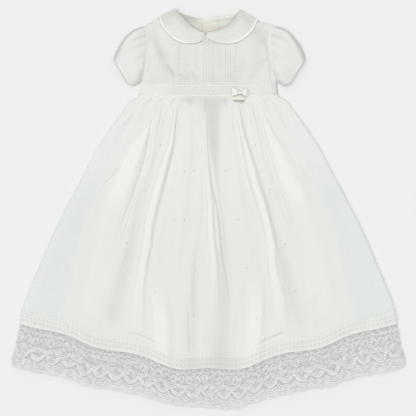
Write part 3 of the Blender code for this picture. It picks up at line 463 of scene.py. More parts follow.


# ---------------------------------------------------------------- front of the skirt
# The front panel, in the same sheer voile. Its fullness is gathered into the waist seam and
# falls in long soft folds. Their raised tops show whiter, as cloth lying doubled with a painted
# highlight, and painted shade darkens their hollows and creases.

LOFT = 6.9                     # face of the bodice and the waistband over the table
DOME = 1.3                     # how much higher that face is along the middle
DOME_HALF = 125.0
SKIRT_LOFT = (7.6, 9.8)        # face of the skirt at the waist seam and below it
FRONT_LOWEST = 4.9             # the face where it lies right on the lining
SIDE_FALL = 13.0               # width at the sides over which the front comes down to the back
SIDE_ROLL = (17.0, 7.0)        # width over which the skirt rolls down, left and right
SIDE_ROUND = (2.0, 3.2)        # how square that roll is
EDGE_LEVEL = 1.8               # the front's face along its sides, where it meets the back
PLEATS = (
    # tone (above 0 doubled cloth with a painted highlight, below 0 painted shade), warmth,
    # then: height, distance across, widths to the left and right, rise

    # the broad folds that fall to each side, left and right
    (1.2, 0.0, ((172, -101, 3, 3, 0), (155, -108, 8, 8, 2.8), (132, -119, 16, 12, 4.0),
        (106, -130, 24, 16, 4.4), (83, -142, 28, 20, 4.4), (55, -153, 29, 22, 4.0),
        (33, -162, 30, 22, 3.0), (0, -172, 32, 26, 1.6), (-45, -188, 34, 30, 1.0),
        (-180, -204, 44, 34, 1.2), (-215, -208, 44, 34, 0))),
    (1.2, 0.0, ((176, 100, 3, 3, 0), (158, 106, 8, 8, 2.8), (135, 114, 12, 15, 4.0),
        (101, 129, 16, 24, 4.4), (65, 142, 20, 28, 4.4), (35, 155, 21, 30, 3.2),
        (0, 168, 22, 32, 1.6), (-45, 186, 28, 34, 1.0), (-180, 204, 34, 44, 1.2),
        (-215, 208, 34, 44, 0))),
    # the creases along their inner edges, two on each side
    (0.0, 0.0, ((172, -101, 2, 4, 0), (161, -105, 2.5, 5, -2.6), (105, -114, 3, 8, -3.2),
        (65, -127, 3, 8, -3.2), (20, -142, 3, 8, -2.6), (-20, -156, 3, 7, -1.6),
        (-50, -167, 3, 5, 0))),
    (0.0, 0.0, ((50, -129, 2, 3, 0), (23, -137, 2, 4, -1.8), (-10, -146, 2, 4, -1.8),
        (-46, -156, 2, 4, -1.2), (-70, -162, 2, 3, 0))),
    (0.0, 0.0, ((195, 92, 4, 2, 0), (161, 98, 5, 2.5, -2.6), (115, 109, 8, 3, -3.2),
        (69, 120, 8, 3, -3.2), (23, 134, 8, 3, -2.6), (-37, 152, 6, 3, -1.6),
        (-60, 158, 4, 3, 0))),
    (0.0, 0.0, ((50, 126, 3, 2, 0), (28, 133, 4, 2, -1.8), (0, 143, 4, 2, -1.8),
        (-27, 155, 4, 2, -1.2), (-50, 162, 3, 2, 0))),
    # slim pleats inside them, under the waistband
    (0.3, 0.1, ((197, -88, 4, 5, 0), (175, -93, 5, 6, 2.2), (140, -100, 6, 7, 2.2),
        (100, -105, 6, 8, 1.6), (60, -114, 7, 8, 1.0), (20, -125, 8, 8, 0))),
    (0.3, 0.1, ((197, 76, 4, 4, 0), (175, 80, 6, 5, 2.2), (140, 88, 7, 6, 2.2),
        (100, 97, 8, 6, 1.6), (60, 106, 8, 7, 1.0), (20, 116, 8, 8, 0))),
    # the hollows between the broad folds and the long pleats
    (-0.6, 0.0, ((200, -72, 4, 5, 0), (150, -81, 8, 8, -2.0), (105, -92, 9, 9, -2.4),
        (60, -107, 12, 9, -2.8), (14, -121, 14, 9, -3.2), (-32, -133, 13, 9, -3.8),
        (-64, -139, 13, 10, -4.4), (-101, -148, 19, 14, -5.4), (-130, -154, 22, 16, -5.0),
        (-170, -164, 30, 22, -4.0), (-207, -174, 38, 27, -3.0), (-238, -180, 38, 27, 0))),
    (-0.6, 0.0, ((200, 62, 5, 4, 0), (152, 70, 8, 8, -2.0), (115, 81, 9, 9, -2.4),
        (78, 92, 9, 12, -2.8), (37, 104, 9, 13, -3.2), (0, 116, 9, 13, -3.8),
        (-37, 125, 10, 13, -4.2), (-73, 132, 10, 15, -4.8), (-108, 143, 14, 19, -5.4),
        (-147, 152, 17, 24, -4.8), (-184, 162, 22, 31, -3.8), (-211, 169, 26, 38, -2.8),
        (-238, 175, 26, 38, 0))),
    # the long pleats that run from the waist to the hem
    (0.9, 0.5, ((200, -58, 4, 4, 0), (189, -60, 5, 4, 1.8), (161, -63, 6, 5, 4.0),
        (120, -69, 8, 7, 5.2), (83, -81, 12, 10, 5.6), (46, -91, 13, 11, 5.6),
        (9, -100, 13, 11, 5.2), (-27, -108, 13, 11, 4.8), (-64, -113, 13, 11, 4.4),
        (-101, -119, 14, 10, 4.2), (-133, -123, 16, 11, 3.6), (-170, -127, 19, 13, 3.0),
        (-207, -129, 24, 15, 2.2), (-240, -130, 24, 15, 0))),
    (0.9, 0.5, ((200, 54, 4, 4, 0), (184, 56, 5, 5, 1.8), (161, 58, 5, 6, 4.0),
        (129, 64, 6, 8, 5.2), (88, 74, 9, 12, 5.6), (46, 86, 11, 13, 5.6), (14, 97, 11, 13, 5.2),
        (-37, 109, 11, 13, 4.8), (-78, 116, 11, 13, 4.4), (-110, 118, 10, 14, 4.2),
        (-147, 125, 12, 17, 3.4), (-193, 130, 15, 22, 2.4), (-240, 132, 15, 24, 0))),
    # the creases on their inner sides
    (0.0, 0.0, ((198, -49, 3, 5, 0), (152, -52, 3, 6, -0.7), (115, -60, 4, 8, -1.2),
        (69, -72, 5, 10, -2.2), (28, -82, 7, 12, -1.7), (-27, -95, 8, 14, -1.4),
        (-73, -104, 8, 14, -1.2), (-110, -109, 8, 13, -0.9), (-150, -116, 8, 12, 0))),
    (0.0, 0.0, ((198, 47, 5, 3, 0), (152, 49, 7, 3, -1.2), (110, 58, 8, 4, -1.4),
        (69, 67, 10, 5, -2.2), (28, 79, 12, 7, -1.7), (-18, 92, 14, 8, -1.4),
        (-55, 98, 14, 8, -1.2), (-101, 103, 13, 8, -1.0), (-140, 112, 12, 8, 0))),
    # shallow swells beside the middle
    (0.25, 0.0, ((200, -34, 9, 9, 0), (170, -37, 12, 12, 1.4), (100, -42, 15, 15, 1.6),
        (30, -52, 18, 18, 1.5), (-50, -62, 24, 24, 1.4), (-110, -70, 24, 24, 0.9),
        (-150, -74, 22, 22, 0))),
    (0.25, 0.0, ((200, 36, 9, 9, 0), (170, 38, 12, 11, 1.6), (100, 42, 15, 14, 1.9),
        (30, 52, 17, 16, 1.9), (-50, 62, 22, 20, 1.6), (-110, 68, 22, 20, 0.9),
        (-150, 72, 20, 20, 0))),
    # swells over the hem band
    (0.7, 0.0, ((-125, -96, 14, 20, 0), (-160, -94, 17, 24, 2.2), (-200, -91, 18, 27, 4.0),
        (-240, -88, 20, 28, 3.6), (-280, -86, 20, 28, 2.6), (-310, -86, 20, 28, 0))),
    (0.7, 0.0, ((-120, 93, 20, 14, 0), (-155, 91, 24, 17, 2.2), (-200, 88, 27, 18, 4.0),
        (-240, 85, 28, 20, 3.6), (-280, 83, 28, 20, 2.6), (-310, 83, 28, 20, 0))),
    # a shallow hollow and the swell above it, left of the middle
    (-0.2, 0.0, ((-20, -14, 6, 6, 0), (-55, -17, 8, 8, -1.8), (-110, -22, 10, 8, -2.6),
        (-170, -23, 10, 10, -2.4), (-240, -22, 10, 10, -1.2), (-272, -22, 10, 10, 0))),
    (0.25, 0.0, ((90, -14, 8, 6, 0), (50, -16, 12, 8, 1.4), (0, -18, 12, 9, 1.6),
        (-40, -19, 10, 8, 0.6), (-70, -19, 9, 8, 0))),
    # the middle pleat and the crease that it throws
    (0.8, 0.9, ((182, -6, 2, 3, 0), (143, -5, 3, 3, 2.2), (106, -3, 4, 4, 3.2),
        (55, -1, 6, 6, 3.8), (14, 2, 8, 8, 4.4), (-37, 5, 10, 9, 5.4), (-73, 8, 10, 9, 5.0),
        (-110, 11, 11, 9, 4.0), (-147, 13, 12, 9, 2.4), (-185, 15, 12, 9, 0))),
    (0.0, 0.3, ((100, 3, 2, 4, 0), (51, 8, 3, 8, -2.6), (19, 14, 3, 9, -3.4),
        (-27, 21, 4, 10, -4.0), (-73, 26, 4, 10, -4.0), (-101, 31, 4, 11, -3.6),
        (-133, 37, 5, 11, -3.0), (-170, 40, 6, 13, -2.2), (-215, 43, 8, 13, 0))),
    # the shade of the gathers right under the waistband
    (-0.6, 0.0, ((208, -4, 76, 74, -0.3), (201, -4, 72, 70, -0.3), (190, 2, 52, 52, -0.2),
        (176, 8, 34, 34, 0))),
    (-0.5, 0.0, ((208, -36, 13, 13, 0), (203, -36, 15, 14, -0.3), (194, -35, 13, 13, -0.2),
        (185, -34, 9, 9, 0))),
    (-0.5, 0.0, ((208, 29, 12, 14, 0), (203, 29, 13, 16, -0.3), (194, 29, 12, 14, -0.2),
        (185, 28, 9, 9, 0))),
    # the long hollow down the middle, and a smaller one beside it
    (-1.1, 0.0, ((206, 9, 15, 13, 0), (198, 9, 22, 19, -1.6), (185, 9, 24, 21, -3.4),
        (150, 9, 20, 19, -3.6), (120, 10, 16, 17, -3.2), (85, 13, 12, 14, -2.4),
        (50, 17, 9, 12, -2.0), (15, 20, 9, 12, -1.8), (-30, 24, 10, 12, -1.8),
        (-75, 27, 14, 15, -2.0), (-115, 28, 22, 24, -2.0), (-160, 27, 27, 28, -2.0),
        (-220, 26, 30, 30, -1.8), (-275, 22, 36, 36, -2.2), (-300, 20, 36, 36, 0))),
    (-0.4, 0.0, ((-60, -24, 6, 6, 0), (-100, -25, 9, 9, -1.0), (-150, -26, 13, 12, -1.6),
        (-200, -28, 20, 16, -1.6), (-260, -30, 24, 20, -1.6), (-300, -30, 24, 20, 0))),
    # hollows over the hem band, far out
    (-0.3, 0.0, ((-150, -190, 12, 16, 0), (-178, -184, 20, 26, -1.2), (-215, -176, 30, 36, 0))),
    (-0.3, 0.0, ((-150, 196, 16, 12, 0), (-178, 192, 24, 18, -1.2), (-215, 188, 30, 30, 0))),
    # short creases low in the skirt
    (-0.2, 0.0, ((-150, -38, 3, 4, 0), (-190, -37, 3, 4, -1.2), (-262, -36, 3, 4, -1.2),
        (-275, -36, 3, 4, 0))),
    (-0.2, 0.0, ((-150, 52, 4, 3, 0), (-190, 52, 5, 3, -1.2), (-255, 50, 5, 3, -1.2),
        (-275, 50, 5, 3, 0))),
    # slanting creases high on the broad folds
    (-0.3, 0.0, ((100, -152, 2, 3, 0), (87, -160, 2, 5, -1.6), (65, -175, 2, 5, -2.4),
        (50, -188, 2, 5, -2.0), (38, -197, 2, 4, 0))),
    (-0.3, 0.0, ((90, 162, 4, 2, 0), (78, 169, 5, 2, -1.6), (60, 181, 5, 2, -2.4),
        (46, 192, 5, 2, -2.0), (34, 200, 4, 2, 0))),
    # dents beside the waist
    (-0.3, 0.0, ((178, -136, 5, 5, 0), (161, -146, 9, 9, -2.4), (148, -154, 8, 8, -1.2),
        (136, -160, 5, 5, 0))),
    (-0.3, 0.0, ((178, 132, 5, 5, 0), (161, 141, 9, 9, -2.4), (148, 149, 8, 8, -1.2),
        (136, 155, 5, 5, 0))),
)
HEM_BUCKLES = (
    # from x, from y, to x, to y, half width, rise: where the cloth sags over the hem band
    (-176.0, -226.0, -138.0, -221.0, 7.0, 1.8),
    (-140.0, -221.0, -92.0, -242.0, 6.0, 2.8),
    (-138.0, -229.0, -92.0, -250.0, 5.0, -2.6),
    (-60.0, -262.0, -92.0, -246.0, 6.0, 1.2),
    (92.0, -241.0, 137.0, -222.0, 6.0, 2.8),
    (92.0, -249.0, 135.0, -230.0, 5.0, -2.6),
    (135.0, -222.0, 186.0, -227.0, 7.0, 1.8),
    (190.0, -222.0, 200.0, -200.0, 5.0, 1.2),
)
PUCKERS = (
    # distance across at the waist, rise, half width, how far down it runs
    (-121.0, 0.8, 4.5, 26.0),
    (-111.4, -1.0, 4.0, 18.0),
    (-104.0, 1.2, 4.5, 34.0),
    (-97.0, -2.6, 3.4, 30.0),
    (-84.0, 1.2, 6.0, 48.0),
    (-70.5, -1.0, 4.5, 26.0),
    (-64.0, 1.4, 4.0, 34.0),
    (-57.2, -3.0, 3.4, 34.0),
    (-48.5, 1.4, 5.0, 52.0),
    (-38.0, -1.0, 5.0, 24.0),
    (-26.5, -1.4, 6.0, 26.0),
    (-14.0, 0.8, 4.5, 26.0),
    (-3.1, -2.4, 3.2, 26.0),
    (5.0, 0.8, 4.5, 30.0),
    (19.0, -1.4, 6.0, 26.0),
    (31.3, -1.4, 6.0, 26.0),
    (46.0, 1.4, 5.0, 48.0),
    (57.0, -2.6, 3.2, 30.0),
    (64.5, 1.2, 4.0, 30.0),
    (73.5, -1.0, 4.5, 26.0),
    (84.0, 1.2, 5.5, 44.0),
    (94.2, -2.8, 3.4, 30.0),
    (101.6, 1.2, 4.0, 28.0),
    (110.1, -1.0, 4.0, 18.0),
    (120.0, 0.8, 4.5, 24.0),
)
SPRIGS = (
    # distance across, height, distance to the second dot of the pair
    (-88.5, 119.3, 0.0),
    (86.0, 119.3, 0.0),
    (-43.5, 71.2, 16.6),
    (32.4, 71.2, 0.0),
    (-115.6, 36.0, 0.0),
    (112.8, 36.0, 0.0),
    (-61.0, -19.4, 16.6),
    (54.6, -18.5, 0.0),
    (-150.0, -62.0, 0.0),
    (142.0, -64.0, 0.0),
    (-22.2, -111.9, 0.0),
    (70.0, -108.0, 0.0),
    (-98.0, -152.0, 0.0),
    (160.0, -150.0, 0.0),
    (-26.8, -195.2, 0.0),
    (88.0, -200.0, 0.0),
)


def plateau(distance, half_width):
    """1 over the middle third and 0 from half_width on."""
    return ramp(1.0, 0.3, np.abs(distance) / half_width)


def pleat_marks(x, y):
    """Rise, tone and warmth that the long folds give the cloth at a place in plan; the tone is a
    painted highlight on their raised tops and painted shade in their hollows.
    """
    rise, painted_fold_light, warm = 0.0 * x, 0.0 * x, 0.0 * x
    for fold_highlight_and_shade, warmth, path in PLEATS:
        top, low = path[0][0], path[-1][0]
        aside = x - through(path, y) - 0.8 * np.sin(y / 23.0 + path[0][1])
        half = np.where(aside < 0.0, through(path, y, 2), through(path, y, 3))
        height = np.where((y > top + 1.0) | (y < low), 0.0, through(path, y, 4))
        shape = plateau(aside, half) if fold_highlight_and_shade > 0.0 else bell(aside, half)
        rise = rise + height * shape
        size = np.abs(height) / max(abs(row[4]) for row in path)
        painted_fold_light = painted_fold_light + fold_highlight_and_shade * size * shape
        edge = shape * (1.0 - shape) * 4.0
        warm = warm + warmth * size * edge * lerp(0.15, 1.0, ramp(20.0, 110.0, y))
    return rise, painted_fold_light, warm


def crease(x, y, ends, half, start, stop):
    """A straight crease: 1 along it, fading over its sides and past its two ends."""
    x0, y0, x1, y1 = ends
    length = math.hypot(x1 - x0, y1 - y0)
    forward = ((x - x0) * (x1 - x0) + (y - y0) * (y1 - y0)) / length**2
    aside = ((x - x0) * (y1 - y0) - (y - y0) * (x1 - x0)) / length
    return ramp(*start, forward) * (1.0 - ramp(*stop, forward)) * bell(aside, half)


def skirt_face(u, v):
    """Height of the front skirt's face over the table."""
    v = np.clip(v, 0.0, 1.0)
    x, y = skirt_plan(u, v)
    half = skirt_half(v)
    loft = lerp(*SKIRT_LOFT, ramp(0.0, 0.14, v)) + DOME * bell(x, DOME_HALF) * ramp(0.15, 0.0, v)
    rise = loft - FRONT_LOWEST + pleat_marks(x, y)[0]
    for *ends, width, height in HEM_BUCKLES:
        rise = rise + height * crease(x, y, ends, width, (-0.2, 0.25), (0.75, 1.2))
    for place, height, width, reach in PUCKERS:
        spread = width * (1.0 + 1.5 * v)
        fade = np.exp(-(v * SKIRT_LENGTH / reach) ** 1.5) * ramp(-0.004, 0.016, v)
        rise = rise + height * fade * bell(x - place * half / SKIRT_SIDES[0][1], spread)
    rise = rise + 0.35 * drift(26.0 * u, 7.0 * v, 3.0) + 0.25 * drift(60.0 * u, 11.0 * v, 5.0)
    rise = rise + 0.16 * drift(x / 3.1, y / 11.0, 6.0)
    face = FRONT_LOWEST + np.where(rise > 1.0, rise, np.exp(np.minimum(rise, 1.0) - 1.0))
    width, power = np.where(u < 0.0, *SIDE_ROLL), np.where(u < 0.0, *SIDE_ROUND)
    short = np.clip((1.0 - np.abs(u)) * half / width, 0.0, 1.0)
    return lerp(EDGE_LEVEL, face, (1.0 - (1.0 - short) ** power) ** (1.0 / power))


def front_skirt(u, v):
    """The panel, with its top turned up under the waistband and its end under the hem band."""
    x, y = skirt_plan(u, v)
    beyond = np.where(v < 0.0, -v, 0.0) - np.where(v > 1.0, v - 1.0, 0.0)
    return x, y + beyond * SKIRT_LENGTH, skirt_face(u, v) - 30.0 * np.abs(beyond)


def lined(u, v):
    """1 where lining or dense gathers lie under the voile, 0 beyond, over a soft edge."""
    x, y = skirt_plan(u, v)
    edge = ramp(12.0, -14.0, np.abs(x) - through(LINING_SIDES, y))
    return np.maximum(edge, ramp(120.0, 178.0, y))


def fold_highlight_and_shade(u, v):
    """Tone of the cloth: 0.5 is one layer, more where it lies doubled under a painted highlight,
    less where painted shade darkens the hollows.
    """
    return np.clip(0.5 + 0.5 * pleat_marks(*skirt_plan(u, v))[1], 0.0, 1.0)


def warmth(u, v):
    """How much of the batiste's cream comes through along a fold."""
    return np.clip(pleat_marks(*skirt_plan(u, v))[2], 0.0, 1.0)


def above_hem(u, v):
    """Distance above the hem band, in millimetres."""
    return skirt_plan(u, v)[1] - hem_edge(u * HEM_HALF) - HEM_DEPTH


TOP_STITCH = 6.0               # a row of holes this far above the hem band
ONE_LAYER = colour(0.86, 0.882, 0.832), colour(0.895, 0.915, 0.87)  # low and high in the skirt
# painted shade for the hollows, and a painted highlight with the doubled cloth on the raised folds
HOLLOW_SHADE = colour(0.74, 0.765, 0.715)
DOUBLED_HIGHLIGHT = colour(0.94, 0.955, 0.91)
CREAM = colour(0.90, 0.87, 0.70)
SHEER_SIDE = colour(0.87, 0.905, 0.90), colour(0.89, 0.92, 0.915)
SHEER_TOP = colour(0.925, 0.95, 0.935)
skirt_voile = Dye("skirt_voile", VOILE_FINISH)
x, y = skirt_voile.place()
# Painted light: the folds' tone paints shade into the hollows and a highlight on the raised folds.
painted_fold_light, over_lining = skirt_voile.mask("fold_highlight_and_shade"), skirt_voile.mask("lined")
high = y.soft(230.0, 110.0)
lit = skirt_voile.blend(painted_fold_light.soft(0.0, 0.5), HOLLOW_SHADE, skirt_voile.blend(high * 0.6, *ONE_LAYER))
lit = skirt_voile.blend(painted_fold_light.soft(0.5, 1.0), lit, DOUBLED_HIGHLIGHT)
lit = skirt_voile.blend(skirt_voile.mask("warmth") * 0.8, lit, CREAM)
cloud = skirt_voile.noise(x * CLOUD, y * 0.012, 3.0).soft(0.3, 0.7)
clear = skirt_voile.blend(high, skirt_voile.blend(cloud, *SHEER_SIDE), SHEER_TOP)
skirt_voile.paint(skirt_voile.blend(over_lining, clear, lit))
holes = skirt_voile.mask("above_hem").near(TOP_STITCH, 1.6, 0.6)
holes = holes * x.off_beat(LADDER_PITCH).soft(0.22, 0.10) * 0.2
skirt_voile.tint(holes, colour(0.5, 0.52, 0.47))
skirt_voile.feed(skirt_voile.shader.inputs["Alpha"], over_lining * 0.07 + 0.90)
skirt_voile.relief(weave(skirt_voile, x, y) * 0.3 - holes, 0.4)

skirt_rows = np.concatenate([[-0.008], np.linspace(0.0, 0.16, 46),
                             np.linspace(0.165, 1.0, 170), [1.008]])
skirt_front = lay("front_skirt_panel", skirt_voile, 401, skirt_rows, front_skirt, skirt_cut,
                  masks={"lined": lined, "fold_highlight_and_shade": fold_highlight_and_shade, "warmth": warmth,
                         "above_hem": above_hem})
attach(skirt_front, BODY)
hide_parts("skirt_front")


def surface_height(x, y):
    """Height of the front skirt's face at a place in plan."""
    v = (WAIST_Y - y) / (WAIST_Y - (hem_edge(x) + HEM_DEPTH))
    return skirt_face(x / skirt_half(v), v)


def add_dot(bm, centre, half):
    """A small padded dot of thread: a flattened ball at a place, in millimetres."""
    ball = bmesh.ops.create_icosphere(bm, subdivisions=1, radius=MM)["verts"]
    bmesh.ops.scale(bm, vec=half, verts=ball)
    bmesh.ops.translate(bm, vec=[value * MM for value in centre], verts=ball)


def sewn(name, bm, dye):
    """A piece of sewn detail from a bmesh, riding on the gown."""
    bmesh.ops.recalc_face_normals(bm, faces=bm.faces[:])
    mesh = meshed(name, bm)
    mesh.shade_smooth()
    mesh.materials.append(dye.material)
    piece = in_scene(name, mesh)
    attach(piece, BODY)
    return piece


TWIST = 1.1                    # from one strand to the next


def thread_dye(name, tone, worn=0.94):
    """Glossy cotton embroidery thread, laid side by side, duller where it is worn."""
    dye = Dye(name, {"Roughness": 0.6, "Sheen Weight": 0.2, "Specular IOR Level": 0.4})
    x, y = dye.spot()
    dull = colour(*(worn * part for part in tone[:3]))
    dye.paint(dye.blend(dye.noise(x * 90.0, y * 90.0), tone, dull))
    dye.relief(((x + y) * (2000.0 * math.pi / TWIST)).math("SINE"), 0.06)
    return dye


sprig_thread = thread_dye("sprig_thread", colour(0.69, 0.70, 0.665))
bm = bmesh.new()
for x, y, apart in SPRIGS:
    for step in {0.0, apart}:
        z = float(surface_height(np.float64(x + step), np.float64(y)))
        add_dot(bm, (x + step, y, z + 0.1), (1.3, 1.4, 0.45))
sprigs = sewn("skirt_sprigs", bm, sprig_thread)


# ---------------------------------------------------------------- front hem band
# A crisp band of voile with two rows of hemstitching, and a rolled lower edge that stands
# just clear of the lace sewn beneath it.

BAND_THICK = 0.8
BAND_TURN = 1.6                # how far its lower edge turns down
BAND_CORDS = (
    # how far down the band, half width, rise
    (0.8, 1.2, 0.35),
    (8.3, 1.6, 0.30),
    (16.4, 1.3, 0.25),
    (19.2, 1.9, 0.75),
)


def front_band(u, v):
    """The band on the skirt's face, with its cords and its rolled lower edge."""
    depth = v * HEM_DEPTH
    cords = -BAND_TURN * ramp(0.955, 1.0, v)
    for place, half, rise in BAND_CORDS:
        cords = cords + rise * bell(depth - place, half)
    flutter = 0.5 * drift(34.0 * u, 1.0 * v, 7.0) * ramp(0.1, 1.0, v)
    pinch = 0.25 * np.sin(2.0 * math.pi * u * HEM_HALF / LADDER_PITCH) * bell(depth - 12.5, 3.0)
    side = ramp(0.0, SIDE_FALL, (1.0 - np.abs(u)) * HEM_HALF)
    face = skirt_face(u, np.ones_like(u)) + BAND_THICK + cords + (flutter + pinch) * side
    return (*hem_plan(u, v), face)


band_voile = ladder_cloth("band_voile", LADDER_ROWS, 0.18,
                          colour(0.838, 0.862, 0.818), colour(0.815, 0.84, 0.797))
x, y = band_voile.place()
rims = y.near(1.0, 1.6, 0.6) + y.soft(17.2, 18.8)
band_voile.tint(rims * 0.8, colour(0.92, 0.93, 0.88))
# Painted shade darkens the band's middle and the places under the skirt's hollows.
band_voile.tint(x.near(6.0, 74.0, 34.0) * 0.6, colour(0.74, 0.76, 0.715))
band_voile.tint(band_voile.mask("fold_highlight_and_shade").soft(0.6, -0.1) * 0.7, colour(0.68, 0.70, 0.66))
band = lay("front_hem_band", band_voile, 701, 43, front_band, hem_cut, wall=0.8,
           masks={"fold_highlight_and_shade": lambda u, v: fold_highlight_and_shade(u, 0.96 + 0.0 * v)})
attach(band, BODY)
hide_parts("hem_band_front")


# ---------------------------------------------------------------- front lace
# Scalloped lace edging: a clear net with satin-stitched arches, swags and buds worked on it in
# thicker thread, a repeat to each scallop. Its top is sewn under the hem band.

LACE_CORDS = (
    # from share of a repeat, to share, level at the ends, sag, width, rise
    (0.00, 0.46, 15.0, -4.5, 1.2, 0.2),
    (0.54, 1.00, 15.0, -4.0, 1.2, 0.2),
    (0.04, 0.46, 26.5, -8.0, 1.8, 0.25),
    (0.10, 0.40, 26.5, -4.4, 1.1, 0.2),
    (0.57, 0.93, 25.5, -6.4, 1.6, 0.25),
    (0.04, 0.36, 28.0, 4.2, 1.3, 0.25),
    (0.50, 1.50, 34.0, 12.0, 2.0, 0.3),
    (0.62, 1.38, 34.5, 8.2, 1.5, 0.2),
    (0.75, 1.25, 35.5, 4.4, 1.2, 0.2),
    (0.02, 0.98, 47.0, 12.5, 2.4, 0.3),
    (0.13, 0.87, 47.5, 8.8, 1.8, 0.2),
    (0.24, 0.76, 48.0, 5.4, 1.4, 0.2),
    (0.00, 1.00, 60.5, 6.0, 1.4, 0.2),
    (0.00, 1.00, 66.0, 5.0, 1.2, 0.2),
    (0.00, 1.00, 71.5, 3.6, 1.2, 0.2),
)
LACE_DOTS = (
    # share of a repeat, level, half width, half height
    (0.24, 15.0, 1.5, 1.3),
    (0.76, 14.0, 1.5, 1.3),
    (0.00, 11.5, 0.8, 2.6),
    (0.50, 12.5, 0.8, 2.2),
    (0.00, 20.5, 1.6, 2.8),
    (0.52, 20.5, 1.3, 2.4),
    (0.50, 31.5, 2.6, 2.2),
    (0.00, 38.0, 3.2, 1.6),
    (0.00, 51.0, 2.6, 2.2),
    (0.50, 52.5, 3.4, 1.4),
    (0.00, 57.5, 2.2, 1.4),
)
BUD_RISE = 0.4
LACE_TUCK = 4.0                # its top goes this far under the hem band
LACE_LEVELS = (1.6, 4.6)       # face at its two sides and between them
LACE_WAVES = 9.5               # waves from side to side
LACE_HELD = 5.6                # the lace rides up where the skirt over it is higher than this
LACE_FOLDS = (
    # across, half width, height
    (-0.655, 0.045, 2.4),
    (-0.30, 0.06, 2.6),
    (-0.26, 0.02, -1.5),
    (0.15, 0.035, 2.4),
    (0.19, 0.02, -1.2),
    (0.60, 0.05, 2.6),
    (0.88, 0.04, 1.6),
    (-0.90, 0.04, 1.6),
)


def front_lace(u, v):
    """The lace: under the hem band at its top, relaxed at its edge."""
    held = np.maximum(0.0, skirt_face(u, np.ones_like(u)) - LACE_HELD)
    side = ramp(1.0, 0.96, np.abs(u))
    free = 0.8 * (0.5 + 0.5 * np.sin(LACE_WAVES * math.pi * u + 0.6)) * ramp(0.15, 0.9, v)
    for place, width, height in LACE_FOLDS:
        fold = bell(u - place - 0.01 * v, width * (0.8 + 0.4 * v)) * ramp(0.0, 0.5, v)
        free = free + height * fold
    free = free + 0.35 * drift(70.0 * u, 2.5 * v, 9.0)
    level = lerp(*LACE_LEVELS, side) - 0.5 * ramp(0.93, 1.0, v) * side
    face = level + held * (1.0 - 0.4 * ramp(0.1, 0.9, v)) + np.maximum(free, 0.0) * side
    return (*lace_plan(u, v, LACE_TUCK), face)


def add_cord(bm, surface, path, width, rise):
    """A raised cord of thread: a narrow strip along a path of (across, down) shares."""
    last = len(path) - 1
    strip = bmesh.ops.create_grid(bm, x_segments=last, y_segments=2, size=0.5)["verts"]
    u, v = np.array(path).T
    line = np.stack(surface(u, v), axis=1)
    forward = np.gradient(line[:, :2], axis=0)
    forward /= np.linalg.norm(forward, axis=1)[:, None]
    for vert in strip:
        i, side = round((vert.co.x + 0.5) * last), round(2.0 * vert.co.y)
        x = line[i, 0] - side * forward[i, 1] * width / 2.0
        y = line[i, 1] + side * forward[i, 0] * width / 2.0
        z = line[i, 2] + (rise if side == 0 else 0.02)
        vert.co = (x * MM, y * MM, z * MM)


def work_lace(name, surface, points):
    """The arches, swags and buds of one side's lace, and the two cords along its edge."""
    bm = bmesh.new()
    for start, end, level, sag, width, rise in LACE_CORDS:
        share = np.linspace(start, end, points)
        hang = np.sin(math.pi * np.linspace(0.0, 1.0, points)) ** 0.6
        for repeat in range(REPEATS):
            u = -1.0 + 2.0 * (repeat + share) / REPEATS
            slack = 1.0 + 0.12 * math.sin(2.7 * repeat + level)
            depth = (level + 0.5 * math.sin(1.9 * repeat) + sag * slack * hang) / LACE_DEPTH
            if u[-1] <= 1.0:
                add_cord(bm, surface, np.stack([u, depth], axis=1), width * slack, rise)
    for level, width in ((0.968, 1.0), (0.994, 1.4)):
        for repeat in range(REPEATS):
            u = -1.0 + 2.0 * (repeat + np.linspace(0.0, 1.0, 9)) / REPEATS
            add_cord(bm, surface, np.stack([u, 0.0 * u + level], axis=1), width, 0.5)
    for share, level, half_x, half_y in LACE_DOTS:
        for repeat in range(REPEATS + (share == 0.0)):
            u = np.clip(-1.0 + 2.0 * (repeat + share) / REPEATS, -0.995, 0.995)
            x, y, z = surface(np.float64(u), np.float64(level / LACE_DEPTH))
            add_dot(bm, (float(x), float(y), float(z)), (half_x, half_y, BUD_RISE))
    return sewn(name, bm, lace_thread)


lace_thread = thread_dye("lace_thread", colour(0.965, 0.975, 0.955), worn=0.76)
lace = lay("front_lace", net, 601, 25, front_lace, lace_cut)
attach(lace, BODY)
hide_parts("lace_front")
lace_work = work_lace("front_lace_work", front_lace, 11)
work_lace("back_lace_work", back_lace, 7)


# ---------------------------------------------------------------- waistband
# A straight band of voile that joins the skirt to the bodice: a ladder of hemstitching along
# its top, a row of small worked arches, and a corded lower edge over the skirt's gathers.

BODICE_HEM_Y = 234.0
WAISTBAND_DEPTH = BODICE_HEM_Y - WAIST_Y
WAISTBAND_HALF = 127.5
WAISTBAND_HALVES = (126.0, 129.5)      # half width at its top and at the waist seam
WAISTBAND_LADDER = 3.6         # how far down the band the row of holes is
WAISTBAND_CORDS = (
    # how far down the band, half width, rise
    (1.5, 1.4, 1.2),
    (6.4, 1.3, 1.1),
    (24.6, 1.6, 1.4),
)
ARCH_PITCH = 9.5
ARCH_LEVELS = (10.5, 19.5)


def waist_plan(u, v):
    return u * lerp(*WAISTBAND_HALVES, v), lerp(BODICE_HEM_Y + 0.8, WAIST_Y, v)


def front_waist(u, v):
    """The waistband with its cords."""
    x, y = waist_plan(u, v)
    face = LOFT + DOME * bell(x, DOME_HALF) + 0.25 * drift(x / 9.0, y / 6.0, 12.0)
    for place, half, rise in WAISTBAND_CORDS:
        face = face + rise * bell(v * WAISTBAND_DEPTH - place, half)
    inward = (1.0 - np.abs(u)) * WAISTBAND_HALF
    return x, y, lerp(EDGE_LEVEL, face, ramp(0.0, SIDE_FALL, inward))


waist_cut = cut_to(WAISTBAND_HALF, WAISTBAND_DEPTH)

